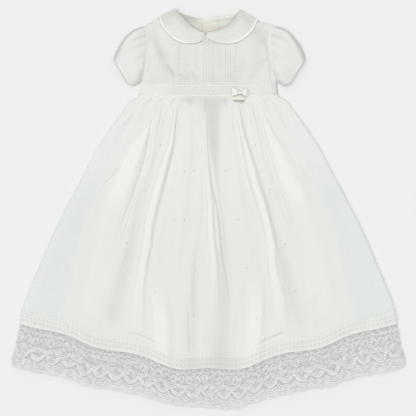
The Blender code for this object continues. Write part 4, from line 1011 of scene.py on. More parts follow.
# The insertion is duller than the cords on each side of it, and the left end is paler. The
# right end is painted dark, as shade in the corner beside the sleeve.
waist_ladder = ladder_cloth("waist_hemstitch", (WAISTBAND_LADDER,), 0.08)
x, y = waist_ladder.place()
waist_ladder.tint(y.near(15.0, 7.5, 6.0), colour(0.815, 0.838, 0.79))
waist_ladder.tint(x.near(-10.0, 72.0, 42.0) * 0.4, colour(0.76, 0.755, 0.71))
waist_ladder.tint(x.soft(-62.0, -92.0) * 0.6, colour(0.87, 0.89, 0.84))
piped = 0.0
for place, half, rise in WAISTBAND_CORDS:
    piped = y.near(place, half, 0.4 * half) + piped
waist_ladder.tint(piped * 0.9, colour(0.92, 0.93, 0.885))
# painted shade: the right end darkens as the corner beside the sleeve
waist_ladder.tint(x.soft(123.5, 127.0), colour(0.55, 0.56, 0.53))
waistband = lay("front_waistband", waist_ladder, 221, 53, front_waist, waist_cut, wall=0.8)
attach(waistband, BODY)
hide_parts("waistband_front")

bm = bmesh.new()
for number in range(-11, 12):
    turn = np.linspace(0.0, math.pi, 9)
    across = ARCH_PITCH * (number + 0.42 * np.cos(turn)) / WAISTBAND_HALF
    down = (ARCH_LEVELS[1] - (ARCH_LEVELS[1] - ARCH_LEVELS[0]) * np.sin(turn)) / WAISTBAND_DEPTH
    add_cord(bm, front_waist, np.stack([across, down], axis=1), 1.2, 0.4)
arch_thread = thread_dye("arch_thread", colour(0.90, 0.91, 0.87))
waist_arches = sewn("waistband_arches", bm, arch_thread)

waist_back = lay("back_waistband", waist_ladder, 81, 13, flat_back(waist_plan), waist_cut,
                 wall=BACK_WALL)
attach(waist_back, BODY)
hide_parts("waistband_back")


# ---------------------------------------------------------------- back of the bodice
# Two plain back halves that overlap down the centre, where the gown opens. The right half
# lies on the left one, over three small buttons.

SHOULDER_LEFT = ((59.0, 365.0), (92.0, 352.5), (114.0, 341.0))
SHOULDER_RIGHT = ((58.0, 365.0), (92.0, 347.0), (119.0, 341.0))
ARMHOLES = (
    # height, left distance, right distance
    (341.0, 114.0, 119.0), (318.0, 111.0, 111.5), (298.0, 112.5, 112.0),
    (260.0, 119.5, 118.5), (234.0, 126.0, 126.0),
)
FRONT_NECK = (
    # distance across, height
    (-59.0, 365.0), (-45.5, 351.0), (-31.6, 336.8), (-19.0, 327.7), (-3.0, 321.0),
    (14.0, 327.0), (28.0, 333.0), (43.5, 344.8), (52.0, 356.0), (58.0, 365.0),
)
BACK_NECK = (
    # distance across, height
    (-59.0, 365.0), (-50.0, 361.5), (-37.0, 356.5), (-20.0, 351.5), (-8.0, 349.2),
    (2.0, 351.5), (18.0, 355.5), (33.0, 358.0), (45.0, 360.0), (58.0, 365.0),
)
NECK_TOP = 365.0
NECK_HALVES = (59.0, 58.0)     # from the centre to the neck's corner, left and right
ARMHOLE_TOP = 341.0
NECK_SHARE = 0.47              # share of each half's columns that lie below the neck
NECK_STAND = 3.4               # the neck's edge stands up from the flat back
LEFT_END, RIGHT_END = 8.0, -12.0       # where the two halves end past the centre
PLACKET_LIFT = 1.9             # how far the left half rises at the opening
LAP_LIFT = 3.2                 # and the right half, which lies over it


def armhole_distance(y, x):
    return np.where(x < 0.0, through(ARMHOLES, y, 1), through(ARMHOLES, y, 2))


def shoulder_line(x):
    return np.where(x < 0.0, through(SHOULDER_LEFT, -x), through(SHOULDER_RIGHT, x))


def bodice_plan(u, v, neck):
    """Plan of the bodice: u across from armhole to armhole, v down from neck and shoulder."""
    outward = np.clip((np.abs(u) - NECK_SHARE) / (1.0 - NECK_SHARE), 0.0, 1.0)
    neck_x = np.where(u < 0.0, *NECK_HALVES)
    arm_y = lerp(ARMHOLE_TOP, BODICE_HEM_Y, v)
    below_neck = np.abs(u) < NECK_SHARE
    beside = np.sign(u) * lerp(neck_x, armhole_distance(arm_y, u), outward)
    x = np.where(below_neck, u / NECK_SHARE * neck_x, beside)
    top = np.where(below_neck, through(neck, x), NECK_TOP)
    y = lerp(lerp(top, BODICE_HEM_Y, v), arm_y, outward)
    seam = shoulder_line(x) - lerp(NECK_TOP, ARMHOLE_TOP, outward)
    return x, y + np.where(below_neck, 0.0, seam * (1.0 - v) ** 6)


def collar_lift(x, y):
    """How much the back rises over the collar's back leaves."""
    return 1.3 * ramp(290.0, 306.0, y) * (1.0 - ramp(97.0, 109.0, np.abs(x)))


def back_half(u, v, placket):
    x, y = bodice_plan(u, v, BACK_NECK)
    ripple = 0.15 * drift(x / 12.0, y / 20.0, 14.0)
    stand = NECK_STAND * ramp(0.085, 0.015, v) * ramp(57.0, 44.0, np.abs(x))
    return x, y, 1.0 + np.maximum(placket(x), collar_lift(x, y)) + stand + ripple


def bodice_cut(u, v):
    return bodice_plan(u, v, BACK_NECK)


def neck_binding(u, v):
    return ramp(0.045, 0.025, v) * (np.abs(u) < NECK_SHARE)


# Inside the neck the back is painted with shade: browner and darker low in the middle, towards
# the front's neck edge, darker on its left, and its binding dark on its left and paler on its
# right.
voile = voile_cloth("voile")
x, y = voile.place()
left = x.soft(-12.0, -30.0)
inside = voile.blend(abs(x).soft(16.0, 6.0), colour(0.81, 0.82, 0.75), colour(0.85, 0.855, 0.79))
inside = voile.blend(left, inside, colour(0.745, 0.755, 0.69))
inside = voile.blend(y.soft(344.0, 334.0), inside, colour(0.75, 0.715, 0.64))
bound = voile.blend(left, colour(0.88, 0.885, 0.82), colour(0.60, 0.61, 0.56))
voile.tint(y.soft(300.0, 326.0), voile.blend(voile.mask("binding"), inside, bound))
for label, low, high, placket in (
    ("left", -1.0, LEFT_END / NECK_HALVES[1] * NECK_SHARE,
     lambda x: PLACKET_LIFT * ramp(-26.0, -12.0, x)),
    ("right", RIGHT_END / NECK_HALVES[0] * NECK_SHARE, 1.0,
     lambda x: LAP_LIFT * (1.0 - ramp(12.0, 28.0, x))),
):
    half = lay(f"back_bodice_{label}", voile, np.linspace(low, high, 81), 61,
               lambda u, v: back_half(u, v, placket), bodice_cut, wall=0.8,
               masks={"binding": neck_binding})
    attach(half, BODY)
    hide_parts(f"bodice_back_{label}")


def finish_node(name, dye):
    """Gives a finish to a CAD node that keeps its shape."""
    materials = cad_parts[name].data.materials
    materials.clear()
    materials.append(dye.material)


shell = Dye("shell_button", {"Roughness": 0.25, "Coat Weight": 0.4, "Coat Roughness": 0.1})
x, y = shell.spot()
cloud = shell.noise(x * 260.0, y * 260.0, 3.0)
shell.paint(shell.blend(cloud, colour(0.86, 0.85, 0.80), colour(0.80, 0.78, 0.72)))
for label in ("top", "middle", "bottom"):
    finish_node(f"button_{label}", shell)


# ---------------------------------------------------------------- front of the bodice
# One panel of voile with pintucks in three groups, and beside them two hemstitched columns
# between fine cords. It is sewn to the sleeves, the collar and the waistband.

BODICE_FOLDS = (
    # from x, from y, to x, to y, half width, height, painted shade there (a painted highlight
    # where below 0)
    (-101.0, 318.0, -86.0, 287.0, 12.0, -1.6, 0.38),
    (-92.0, 334.0, -82.0, 312.0, 14.0, 0.6, -0.42),
    (-98.0, 310.0, -82.0, 278.0, 9.0, -1.2, 0.20),
    (-87.0, 285.0, -64.0, 244.0, 12.0, -2.0, 0.38),
    (-76.0, 268.0, -62.0, 243.0, 4.5, -1.8, 0.32),
    (-104.0, 296.0, -82.0, 246.0, 12.0, 2.2, -0.25),
    (-112.0, 326.0, -114.0, 286.0, 6.0, 1.2, -0.5),
    (-113.0, 290.0, -119.0, 248.0, 9.0, 1.4, -0.4),
    (-80.0, 326.0, -60.0, 284.0, 15.0, 1.6, -0.2),
    (-100.0, 276.0, -92.0, 252.0, 6.0, -1.2, 0.25),
    (106.0, 305.0, 115.5, 242.0, 2.8, -2.2, 0.5),
    (112.5, 328.0, 113.5, 292.0, 5.0, 1.6, -0.6),
    (114.0, 296.0, 121.0, 244.0, 3.5, 1.6, -0.6),
    (88.0, 332.0, 103.0, 308.0, 19.0, -2.2, 0.50),
    (103.0, 312.0, 110.0, 298.0, 5.0, -0.8, 0.25),
    (73.0, 298.0, 79.0, 266.0, 17.0, 2.0, -0.25),
    (105.0, 274.0, 82.0, 240.0, 11.0, -1.6, 0.16),
    (66.0, 268.0, 60.0, 246.0, 7.0, -1.6, 0.2),
    (92.0, 300.0, 104.0, 270.0, 7.0, -1.2, 0.2),
    (-52.0, 250.0, -46.0, 238.0, 4.0, -1.6, 0.25),
    (-27.0, 252.0, -21.0, 238.0, 5.0, -2.0, 0.4),
    (38.0, 246.0, 50.0, 240.0, 4.0, -1.6, 0.25),
    (-40.0, 243.0, -32.0, 243.0, 3.0, -1.2, 0.2),
    (-24.0, 262.0, -16.0, 258.0, 5.0, -1.2, 0.2),
    (20.0, 300.0, 24.0, 260.0, 7.0, -0.8, 0.25),
    (-22.0, 300.0, -22.0, 262.0, 7.0, -0.8, 0.25),
)
TUCKS = (
    # height, width of the slope and of the lee side, then the tucks' distances across
    (1.0, 1.9, 0.7, (-43.2, -38.7, -34.2, -9.2, -4.6, 0.0, 4.6, 9.2, 31.2, 35.7, 40.2)),
    (0.6, 0.8, 0.8, (-60.0, -46.8, 44.8, 56.0)),     # the cords beside the hemstitching
)
TUCKED_FROM_Y = 322.0
SHOULDER_ROLL = 12.0           # width over which the front rolls over at the shoulder
SHOULDER_LEVEL = 2.6
ROLL_FROM_Y = 325.0
STITCH_COLUMNS = (-53.4, 50.4)
STITCH_PITCH = 7.4


def bodice_folds(x, y, column):
    """What the creases add at a place: to the height (column 5) or the painted shade and highlight
    (6).
    """
    total = 0.0 * x
    for row in BODICE_FOLDS:
        total = total + row[column] * crease(x, y, row[:4], row[4], (-0.25, 0.15), (0.85, 1.25))
    return total


def bodice_face(x, y):
    """Height of the bodice's front over the table, without its tucks."""
    face = LOFT + DOME * bell(x, DOME_HALF) + bodice_folds(x, y, 5)
    face = face + 0.3 * drift(x / 16.0, y / 24.0, 11.0) + 0.15 * drift(x / 6.0, y / 9.0, 15.0)
    short = np.clip((shoulder_line(x) - y) / SHOULDER_ROLL, 0.0, 1.0)
    rolled = lerp(SHOULDER_LEVEL, face, np.sqrt(1.0 - (1.0 - short) ** 2))
    face = np.where(y > ROLL_FROM_Y, rolled, face)
    inward = armhole_distance(y, x) - np.abs(x)
    low_side = ramp(262.0, 240.0, y) * (1.0 - ramp(0.0, SIDE_FALL, inward))
    return lerp(face, EDGE_LEVEL, low_side)


def tuck_relief(x, y):
    relief = 0.0
    for height, slope, lee, places in TUCKS:
        for place in places:
            aside = x - place
            relief = relief + height * bell(aside, np.where(aside < 0.0, slope, lee))
    relief = relief * ramp(TUCKED_FROM_Y, TUCKED_FROM_Y - 8.0, y)
    return relief * ramp(BODICE_HEM_Y, BODICE_HEM_Y + 3.0, y)


def crease_shade_and_highlight(u, v):
    """Tone of the bodice: 0.5 is even, more is painted shade in the creases, less a painted
    highlight on the ridges.
    """
    x, y = bodice_plan(u, v, FRONT_NECK)
    return np.clip(0.5 + 0.5 * bodice_folds(x, y, 6), 0.0, 1.0)


def front_bodice(u, v):
    x, y = bodice_plan(u, v, FRONT_NECK)
    seam = -1.0 * ramp(0.985, 1.0, v)
    return x, y, bodice_face(x, y) + tuck_relief(x, y) + seam


# The cloth gets painted shade in its creases and a painted highlight on its ridges. In the
# middle it is darker and warmer under the collar, as the collar's painted shadow, and over the
# waistband.
bodice_voile = voile_cloth("bodice_voile", colour(0.815, 0.84, 0.79), colour(0.785, 0.812, 0.765))
x, y = bodice_voile.place()
bars = y.off_beat(STITCH_PITCH).soft(0.30, 0.16)
holes = 0.0
for column in STITCH_COLUMNS:
    holes = x.near(column, 3.2, 1.6) * bars + holes
painted_crease_light = bodice_voile.mask("crease_shade_and_highlight")
middle = abs(x).soft(62.0, 38.0) * 0.35
bodice_voile.tint(painted_crease_light.soft(0.5, 1.0) * 0.8, colour(0.62, 0.645, 0.59))
bodice_voile.tint(painted_crease_light.soft(0.5, 0.0), colour(0.90, 0.915, 0.875))
bodice_voile.tint(y.soft(300.0, 309.0) * middle, colour(0.70, 0.69, 0.60))
bodice_voile.tint(y.soft(262.0, 238.0) * middle, colour(0.73, 0.725, 0.68))
bodice_voile.tint(holes * 0.22, colour(0.62, 0.64, 0.59))
bodice_voile.relief(weave(bodice_voile, x, y) * 0.3 - holes, 0.35)
bodice_columns = np.concatenate([np.linspace(-1, -NECK_SHARE, 51)[:-1],
                                 np.linspace(-NECK_SHARE, NECK_SHARE, 337),
                                 np.linspace(NECK_SHARE, 1, 51)[1:]])
bodice = lay("front_bodice", bodice_voile, bodice_columns, 111, front_bodice,
             lambda u, v: bodice_plan(u, v, FRONT_NECK), wall=0.8, masks={"crease_shade_and_highlight": crease_shade_and_highlight})
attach(bodice, BODY)
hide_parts("bodice_front")


# ---------------------------------------------------------------- collar
# A Peter Pan collar in two halves, each a doubled leaf of voile with a piped rim. Each lies
# on the front, turns over the shoulder and goes on down the back.

COLLAR_FRONT = {
    "collar_left": {
        "inner": ((-7.5, 325.0), (-19.0, 330.2), (-31.6, 339.3), (-45.5, 353.4), (-61.0, 371.0)),
        "outer": ((-5.6, 320.5), (-8.5, 315.0), (-17.8, 308.0), (-30.3, 305.5), (-46.5, 306.0),
                  (-63.2, 312.8), (-79.5, 328.2), (-89.5, 344.8), (-92.5, 357.0)),
    },
    "collar_right": {
        "inner": ((-3.2, 325.6), (14.2, 329.7), (28.1, 336.0), (43.5, 347.8), (51.8, 358.9),
                  (59.6, 369.3)),
        "outer": ((-4.4, 320.0), (3.1, 312.8), (14.2, 307.6), (28.1, 305.5), (43.0, 305.4),
                  (58.0, 310.0), (69.0, 317.2), (82.0, 329.8), (92.3, 350.6)),
    },
}
COLLAR_BACK = {
    "collar_left": {
        "inner": ((-61.0, 371.0), (-45.5, 361.6), (-30.3, 356.2), (-10.0, 351.2)),
        "outer": ((-92.5, 357.0), (-82.0, 335.0), (-62.0, 318.0), (-38.0, 312.0), (-10.0, 313.0)),
    },
    "collar_right": {
        "inner": ((59.6, 369.3), (45.0, 361.6), (28.1, 357.2), (7.0, 353.0)),
        "outer": ((92.3, 350.6), (82.0, 333.0), (62.0, 318.0), (38.0, 312.0), (7.0, 313.0)),
    },
}
COLLAR_DEPTH = 46.0
COLLAR_RIM = 1.0               # the piping over the leaf
COLLAR_SWELL = 3.0             # how far the leaf stands up between its neck edge and its rim
COLLAR_RISE = 1.7              # the leaf's upper side over the bodice's face
COLLAR_ROWS = np.concatenate([np.linspace(0, 0.84, 29)[:-1], np.linspace(0.84, 1, 21)])
TURN_RADIUS = 4.0              # of the turn over the shoulder
COLLAR_TURNS = (1.0, 1.25)     # the turn's share of the way round, between front and back


def along(points, share):
    """Smooth curve through points, at shares of its length."""
    x, y = np.array(points).T
    steps = np.hypot(np.diff(x), np.diff(y))
    lengths = np.concatenate([[0.0], np.cumsum(steps)])
    place = np.clip(share, 0.0, 1.0) * lengths[-1]
    return tuple(through(np.stack([lengths, axis], axis=1), place) for axis in (x, y))


def collar_leaf(name):
    """The leaf's upper side: u from the centre front round to the centre back, v outwards."""
    front, back = COLLAR_FRONT[name], COLLAR_BACK[name]
    neck, corner = np.array(front["inner"][-1]), np.array(front["outer"][-1])
    side = math.copysign(1.0, corner[0])
    away = (corner - neck) / np.hypot(*(corner - neck))
    outward = np.array([-side * away[1], side * away[0]])
    start, end = COLLAR_TURNS

    def shape(u, v):
        behind = (u - end) / (2.0 - end)
        turn = np.clip((u - start) / (end - start), 0.0, 1.0)
        angle = math.pi * (0.5 - turn)
        push = TURN_RADIUS * (np.cos(angle) - 1.0)
        push = np.where(behind > 0.0, -TURN_RADIUS * (1.0 - np.clip(behind, 0.0, 1.0)) ** 3, push)
        push = np.where(u < start, -TURN_RADIUS * ramp(0.78, 1.0, u), push)
        spots = []
        for axis in (0, 1):
            fore = lerp(along(front["inner"], u)[axis], along(front["outer"], u)[axis], v)
            rear = lerp(along(back["inner"], behind)[axis], along(back["outer"], behind)[axis], v)
            spots.append(np.where(u > end, rear, fore) + outward[axis] * push)
        x, y = spots
        rim = COLLAR_RIM * (bell(v - 0.955, 0.06) - ramp(0.98, 1.0, v))
        rim = rim - 0.35 * bell(v - 0.875, 0.03)
        swell = COLLAR_SWELL * bell(v - 0.48, 0.44) + ramp(0.6, 0.9, v) - 1.4 * bell(v, 0.07)
        swell = swell + 0.35 * drift(5.0 * u, 3.0 * v, 16.0)
        end_rise = ramp(-0.06, 0.10, u)
        ahead = bodice_face(x, y) + (COLLAR_RISE + rim) * end_rise
        ahead = ahead + swell * ramp(1.0, 0.85, u) * end_rise
        turned = TURN_RADIUS + TURN_RADIUS * np.sin(angle) + rim * (1.0 - ramp(0.0, 0.6, turn))
        z = np.where(u < start, lerp(ahead, turned, ramp(0.9, 1.0, u)), turned)
        return x, y, np.where(u > end, 0.0, z)

    return shape


collar_voile = voile_cloth("collar_voile", colour(0.83, 0.855, 0.80), colour(0.80, 0.825, 0.775))
x, y = collar_voile.place()
# Painted shade darkens the leaf along its neck edge and where it turns over the shoulder; the
# piped rim is paler.
collar_voile.tint(y.soft(19.0, 0.0) * x.soft(6.0, 60.0), colour(0.66, 0.685, 0.63))
shoulder = x.soft(84.0, 116.0) * x.soft(150.0, 122.0) * 0.75
collar_voile.tint(shoulder, colour(0.70, 0.725, 0.675))
collar_voile.tint(y.soft(40.4, 42.2), colour(0.95, 0.96, 0.92))
for name in COLLAR_FRONT:
    leaf = lay(f"{name}_leaf", collar_voile, np.linspace(0, 2, 161), COLLAR_ROWS,
               collar_leaf(name), cut_to(120.0, COLLAR_DEPTH))
    bm = bmesh.new()
    bm.from_mesh(leaf.data)
    bmesh.ops.recalc_face_normals(bm, faces=bm.faces[:])
    if max(bm.faces, key=lambda face: face.calc_center_median().z).normal.z < 0.0:
        bmesh.ops.reverse_faces(bm, faces=bm.faces[:])
    bm.to_mesh(leaf.data)
    bm.free()
    thicken(leaf, 1.0)
    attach(leaf, BODY)
    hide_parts(name)


# ---------------------------------------------------------------- sleeves
# Short puff sleeves, each a tube of voile that lies flattened. The cap is gathered into the
# armhole, and the hem is gathered a little into a narrow bias binding.

SLEEVES = {
    "left": {
        "side": -1.0,
        "hem_level": -0.6,         # of the upper side at the hem, over the folded edge's middle
        "pressed": 0.2,            # how strong the painted highlight on the seam beside the armhole is
        "cap": ((-114.3, 341.0), (-138.0, 332.0), (-155.0, 317.5), (-168.0, 297.0),
                (-175.5, 280.0)),
        "hem": ((-175.5, 280.0), (-162.5, 257.5), (-147.5, 233.0), (-141.0, 230.0),
                (-135.0, 230.0)),
    },
    "right": {
        "side": 1.0,
        "hem_level": 1.2,
        "pressed": 0.8,
        "cap": ((119.3, 341.0), (146.0, 331.0), (165.5, 309.0), (174.0, 294.5), (179.5, 280.0)),
        "hem": ((179.5, 280.0), (165.5, 257.5), (149.5, 233.0), (143.0, 230.0), (136.0, 230.0)),
    },
}
UNDERARM_Y = 238.0
SLEEVE_LENGTH = 58.0
SLEEVE_EDGE = 2.9              # height of the folded edge's middle over the table
SLEEVE_ROLLS = (12.0, 6.0)     # width of the upper side's roll to the folded edge and underarm
SLEEVE_PUFF = 9.0
FOLD_SHADE_WIDTHS = (8.5, 15.0)       # painted shade greys the cap's folded edge over this width
SEAM_UNDER = 0.9               # the sleeve starts this far under the bodice's edge
CUFF_WIDTH = 5.0
CUFF_LIFT = 0.5                # the binding over the sleeve
SEAM_STEP = 2.2                # the sleeve rises this far right beside its seam
SLEEVE_PUCKERS = (
    # across at the armhole, aside, half width, height, how far along it runs, painted shade in it
    (0.05, -0.08, 0.045, 0.9, 0.60, 0.0),
    (0.12, -0.05, 0.035, -1.1, 0.50, 0.25),
    (0.19, -0.02, 0.050, -1.5, 0.60, 0.50),
    (0.27, 0.00, 0.040, 1.0, 0.70, 0.0),
    (0.34, 0.03, 0.035, -0.9, 0.45, 0.30),
    (0.42, 0.05, 0.045, 0.7, 0.60, 0.0),
    (0.52, 0.08, 0.060, -0.8, 0.55, 0.20),
    (0.66, 0.10, 0.060, 0.6, 0.50, 0.0),
)


def armhole_x(side, y, inset):
    """The armhole's line, this far in under the bodice's edge."""
    return side * (armhole_distance(y, side) - inset)


def sleeve_plan(sizes, across, down):
    """Plan of a sleeve between its armhole, hem, folded cap edge and underarm."""
    side, cap, hem = sizes["side"], sizes["cap"], sizes["hem"]
    arm_y = lerp(ARMHOLE_TOP, UNDERARM_Y, across)
    arm_x = armhole_x(side, arm_y, SEAM_UNDER)
    arm_end = armhole_x(side, UNDERARM_Y, SEAM_UNDER)
    top_x, top_y = along(cap, down)
    hem_x, hem_y = along(hem, across)
    low_x, low_y = lerp(arm_end, hem[-1][0], down), lerp(UNDERARM_Y, hem[-1][1], down)
    x = lerp(arm_x, hem_x, down) + lerp(top_x, low_x, across)
    y = lerp(arm_y, hem_y, down) + lerp(top_y, low_y, across)
    x = x - lerp(lerp(cap[0][0], arm_end, across), lerp(hem[0][0], hem[-1][0], across), down)
    y = y - lerp(lerp(cap[0][1], UNDERARM_Y, across), lerp(hem[0][1], hem[-1][1], across), down)
    return x, y


def sleeve_spot(sizes, u, v):
    """A place on the tube: its share across, its plan, and how far the cap edge and the
    underarm are from it."""
    across = 0.5 - 0.5 * np.cos(math.pi * np.where(u <= 1.0, u, 2.0 - u))
    x, y = sleeve_plan(sizes, across, v)
    cap_x, cap_y = sleeve_plan(sizes, 0.0 * across, v)
    arm_x, arm_y = sleeve_plan(sizes, 0.0 * across + 1.0, v)
    return across, x, y, np.hypot(x - cap_x, y - cap_y), np.hypot(x - arm_x, y - arm_y)


def sleeve_puckers(across, v, column):
    """What the cap's gathers add at a place: to the height (column 3) or the painted shade (5)."""
    total = 0.0 * v
    for row in SLEEVE_PUCKERS:
        place, aside, half, reach = row[0], row[1], row[2], row[4]
        fade = ramp(0.0, 0.08, v) * ramp(reach, 0.1, v)
        total = total + row[column] * fade * bell(across - place - aside * v, half * (1.0 + v))
    return total


def sleeve_tube(sizes, lift):
    """The flattened tube: u is 0 to 1 over the front and 1 to 2 over the back."""
    def shape(u, v):
        across, x, y, from_cap, from_underarm = sleeve_spot(sizes, u, v)
        short = np.minimum(from_cap / SLEEVE_ROLLS[0], from_underarm / SLEEVE_ROLLS[1])
        short = np.clip(short, 0.0, 1.0)
        rolled = np.sqrt(np.maximum(0.0, 1.0 - (1.0 - short) ** 2))
        arm_y = lerp(ARMHOLE_TOP, UNDERARM_Y, across)
        seam = bodice_face(armhole_x(sizes["side"], arm_y, 0.5), arm_y) - 0.45 - SLEEVE_EDGE
        seam = seam + SEAM_STEP * ramp(0.0, 0.12, v)
        full = 0.90 + 0.10 * np.sin(math.pi * across)
        swell = np.where(v < 0.5, bell(v - 0.5, 0.62), 1.0 - 0.65 * np.abs(2.0 * v - 1.0) ** 2.5)
        rise = lerp(seam, sizes["hem_level"], ramp(0.0, 1.0, v)) + SLEEVE_PUFF * full * swell
        rise = rise + sleeve_puckers(across, v, 3)
        crumple = drift(9.0 * across, 5.0 * v, 17.0 + sizes["side"])
        rise = rise + 0.45 * crumple * ramp(0.0, 0.2, v)
        upper = SLEEVE_EDGE + rolled * (np.maximum(rise, -2.0) + lift)
        lower = SLEEVE_EDGE - rolled * (SLEEVE_EDGE - 0.15)
        return x, y, np.where(u <= 1.0, upper, lower)
    return shape


def sleeve_edge_shade(sizes):
    """Painted shade, 1 on the folded edge of the cap, where the cloth stands on edge, and less in
    its gathers and by the underarm.
    """
    def shade(u, v):
        across, _, _, from_cap, from_underarm = sleeve_spot(sizes, u, v)
        wide = lerp(*FOLD_SHADE_WIDTHS, ramp(0.3, 0.9, v))
        cap = 0.9 * ramp(wide, 2.5, from_cap) * ramp(0.0, 0.15, v)
        under = 0.2 * ramp(7.0, 0.0, from_underarm)
        gathers = np.clip(sleeve_puckers(across, v, 5), 0.0, 1.0)
        return np.maximum(np.maximum(cap, under), gathers)
    return shade


def sleeve_painted_highlight(sizes):
    """1 where a painted highlight pales the pressed seam beside the armhole and the binding at the
    hem.
    """
    def shade(u, v):
        across = sleeve_spot(sizes, u, v)[0]
        seam = sizes["pressed"] * ramp(0.055, 0.02, v) * ramp(0.08, 0.24, across)
        return seam + 0.7 * ramp(0.80, 0.95, v) * ramp(0.05, 0.25, across)
    return shade


sleeve_cut = cut_to(104.0, 62.0)
sleeve_voile = voile_cloth("sleeve_voile", colour(0.845, 0.867, 0.825), colour(0.82, 0.845, 0.805))
# Painted shade greys the cap's folded edge, its gathers and the underarm, and a painted highlight
# pales the seam beside the armhole and the binding at the hem.
sleeve_voile.tint(sleeve_voile.mask("fold"), colour(0.60, 0.62, 0.59))
sleeve_voile.tint(sleeve_voile.mask("seam"), colour(0.91, 0.925, 0.88))
CUFF_FROM = 1.0 - CUFF_WIDTH / SLEEVE_LENGTH
for label, sizes in SLEEVES.items():
    around = np.linspace(0, 2, 201)
    masks = {"fold": sleeve_edge_shade(sizes), "seam": sleeve_painted_highlight(sizes)}
    tube = lay(f"sleeve_{label}_puff", sleeve_voile, around, np.linspace(0, CUFF_FROM, 66),
               sleeve_tube(sizes, 0.0), sleeve_cut, masks=masks)
    cuff = lay(f"sleeve_{label}_binding", sleeve_voile, around, np.linspace(CUFF_FROM, 1, 11),
               sleeve_tube(sizes, CUFF_LIFT), sleeve_cut, masks=masks)
    for piece, node in ((tube, f"sleeve_{label}"), (cuff, f"cuff_{label}")):
        closed = piece.modifiers.new("seam", "WELD")
        closed.merge_threshold = 0.01 * MM
        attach(piece, BODY)
        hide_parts(node)


# ---------------------------------------------------------------- bow and charm
# A small bow of satin ribbon: two folded loops and a knot, tacked to the waistband. A plain
# oval charm hangs from the knot.

BOW_X = 57.5
BOW_Y = 214.5
BOW_LEVEL = 9.9
BOW_REACH = 14.5
KNOT_REACH = 3.0
KNOT_SIZE = (3.2, 3.4, 2.4)
BOW_HALVES = (2.2, 7.3)        # half height of a loop at the knot and at its end
LOOP_RADIUS = 2.1
CHARM_GLINT_Y = 203.6            # a painted reflection: a bright bar across the charm


def bow_loop(side):
    """A loop of ribbon: u from the knot out and back beneath, v across the ribbon."""
    def shape(u, v):
        out = np.where(u < 0.5, u / 0.45, (1.0 - u) / 0.45)
        out = np.clip(out, 0.0, 1.0)
        turn = np.clip((u - 0.45) / 0.10, 0.0, 1.0)
        reach = lerp(KNOT_REACH, BOW_REACH - LOOP_RADIUS, out)
        reach = reach + LOOP_RADIUS * np.sin(math.pi * turn)
        width = lerp(*BOW_HALVES, ramp(0.0, BOW_REACH, reach))
        level = np.where(u < 0.5, 1.0, -1.0) * np.abs(np.cos(math.pi * turn))
        belly = 0.8 * np.sin(math.pi * out) * np.maximum(level, 0.0)
        crease = 0.35 * np.cos(5.0 * math.pi * (v - 0.5)) * (1.0 - out) * np.abs(level)
        x = BOW_X + side * reach
        y = BOW_Y + 1.5 * reach / BOW_REACH + (1.0 - 2.0 * v) * width
        return x, y, BOW_LEVEL + LOOP_RADIUS * (1.0 + level) + belly + crease
    return shape


satin = Dye("satin_ribbon", {"Roughness": 0.32, "Sheen Weight": 0.3, "Anisotropic": 0.4,
                             "Base Color": colour(0.90, 0.905, 0.875)})
x, y = satin.place()
satin.relief((x * 6.0).math("SINE"), 0.02)
for label, side in (("left", -1.0), ("right", 1.0)):
    loop = lay(f"bow_{label}", satin, np.linspace(0, 1, 49), 21,
               bow_loop(side), cut_to(26.0, 10.0))
    thicken(loop, 0.4, 0.0)
    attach(loop, BODY)
    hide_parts(f"bow_loop_{label}")

bm = bmesh.new()
bmesh.ops.create_uvsphere(bm, u_segments=32, v_segments=18, radius=MM)
bmesh.ops.scale(bm, verts=bm.verts[:], vec=KNOT_SIZE)
for vert in bm.verts:
    vert.co.z += 0.25 * MM * math.cos(vert.co.x / MM * 3.0) * (vert.co.z > 0.0)
bmesh.ops.translate(bm, verts=bm.verts[:], vec=(BOW_X * MM, BOW_Y * MM, (BOW_LEVEL + 2.6) * MM))
knot = sewn("bow_tie", bm, satin)
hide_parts("bow_knot")

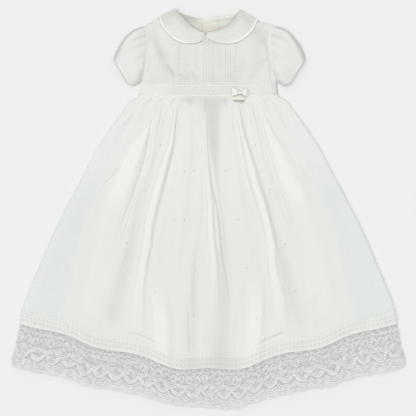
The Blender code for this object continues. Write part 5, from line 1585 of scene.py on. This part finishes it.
# Painted light on the charm: a painted reflection lays a bright, less metallic bar across it and a
# paler foot, and the bronze is painted darker as shade below the bar and lighter above it.
charm_metal = Dye("champagne_metal", {"Metallic": 0.7, "Roughness": 0.5})
x, y = charm_metal.spot()
wear = charm_metal.noise(x * 400.0, y * 900.0, 3.0)
height = y * 1000.0 - CHARM_GLINT_Y
glint = abs(height).soft(1.9, 1.0).math("MAXIMUM", height.soft(-5.4, -6.6) * 0.8)
glint_tone = charm_metal.blend(wear, colour(0.95, 0.94, 0.90), colour(0.91, 0.90, 0.85))
bronze_and_shade = charm_metal.blend(wear, colour(0.55, 0.52, 0.43), colour(0.46, 0.43, 0.35))
bronze_and_shade = charm_metal.blend(height.soft(0.5, 1.5), bronze_and_shade, colour(0.78, 0.74, 0.63))
charm_metal.feed(charm_metal.shader.inputs["Metallic"], 0.7 - glint * 0.65)
charm_metal.paint(charm_metal.blend(glint, bronze_and_shade, glint_tone))
finish_node("charm", charm_metal)


# ---------------------------------------------------------------- floor, light and camera
# A plain pale table under soft light from above, and a camera that looks straight down.

CAMERA_PLACE = (-0.9, 2.8, 1820.0)
FRAME_WIDTH = 769.6
SENSOR = 36.0
ROOM_LIGHT = 0.50
SUN_STRENGTH = 1.47
SUN_SPREAD = 80.0
SUN_TILT = (-6.0, -9.0, 0.0)

bm = bmesh.new()
bmesh.ops.create_grid(bm, x_segments=1, y_segments=1, size=4.0)
table_top = meshed("table_top", bm)
table = Dye("pale_table", {"Roughness": 0.9, "Base Color": colour(0.90, 0.90, 0.90),
                           "Specular IOR Level": 0.1})
table_top.materials.append(table.material)
floor = in_scene("table_top", table_top)

world = bpy.data.worlds.new("soft_room")
world.use_nodes = True
room = world.node_tree.nodes["Background"]
room.inputs["Color"].default_value = colour(1.0, 1.0, 1.0)
room.inputs["Strength"].default_value = ROOM_LIGHT
bpy.context.scene.world = world

softbox = bpy.data.lights.new("softbox", "SUN")
softbox.energy = SUN_STRENGTH
softbox.angle = math.radians(SUN_SPREAD)
lamp = in_scene("softbox", softbox)
lamp.rotation_euler = [math.radians(tilt) for tilt in SUN_TILT]

lens = bpy.data.cameras.new("camera")
lens.sensor_width = SENSOR
lens.lens = SENSOR * CAMERA_PLACE[2] / FRAME_WIDTH
camera = in_scene("camera", lens)
camera.location = [value * MM for value in CAMERA_PLACE]
bpy.context.scene.camera = camera
bpy.context.scene.view_settings.view_transform = "Standard"
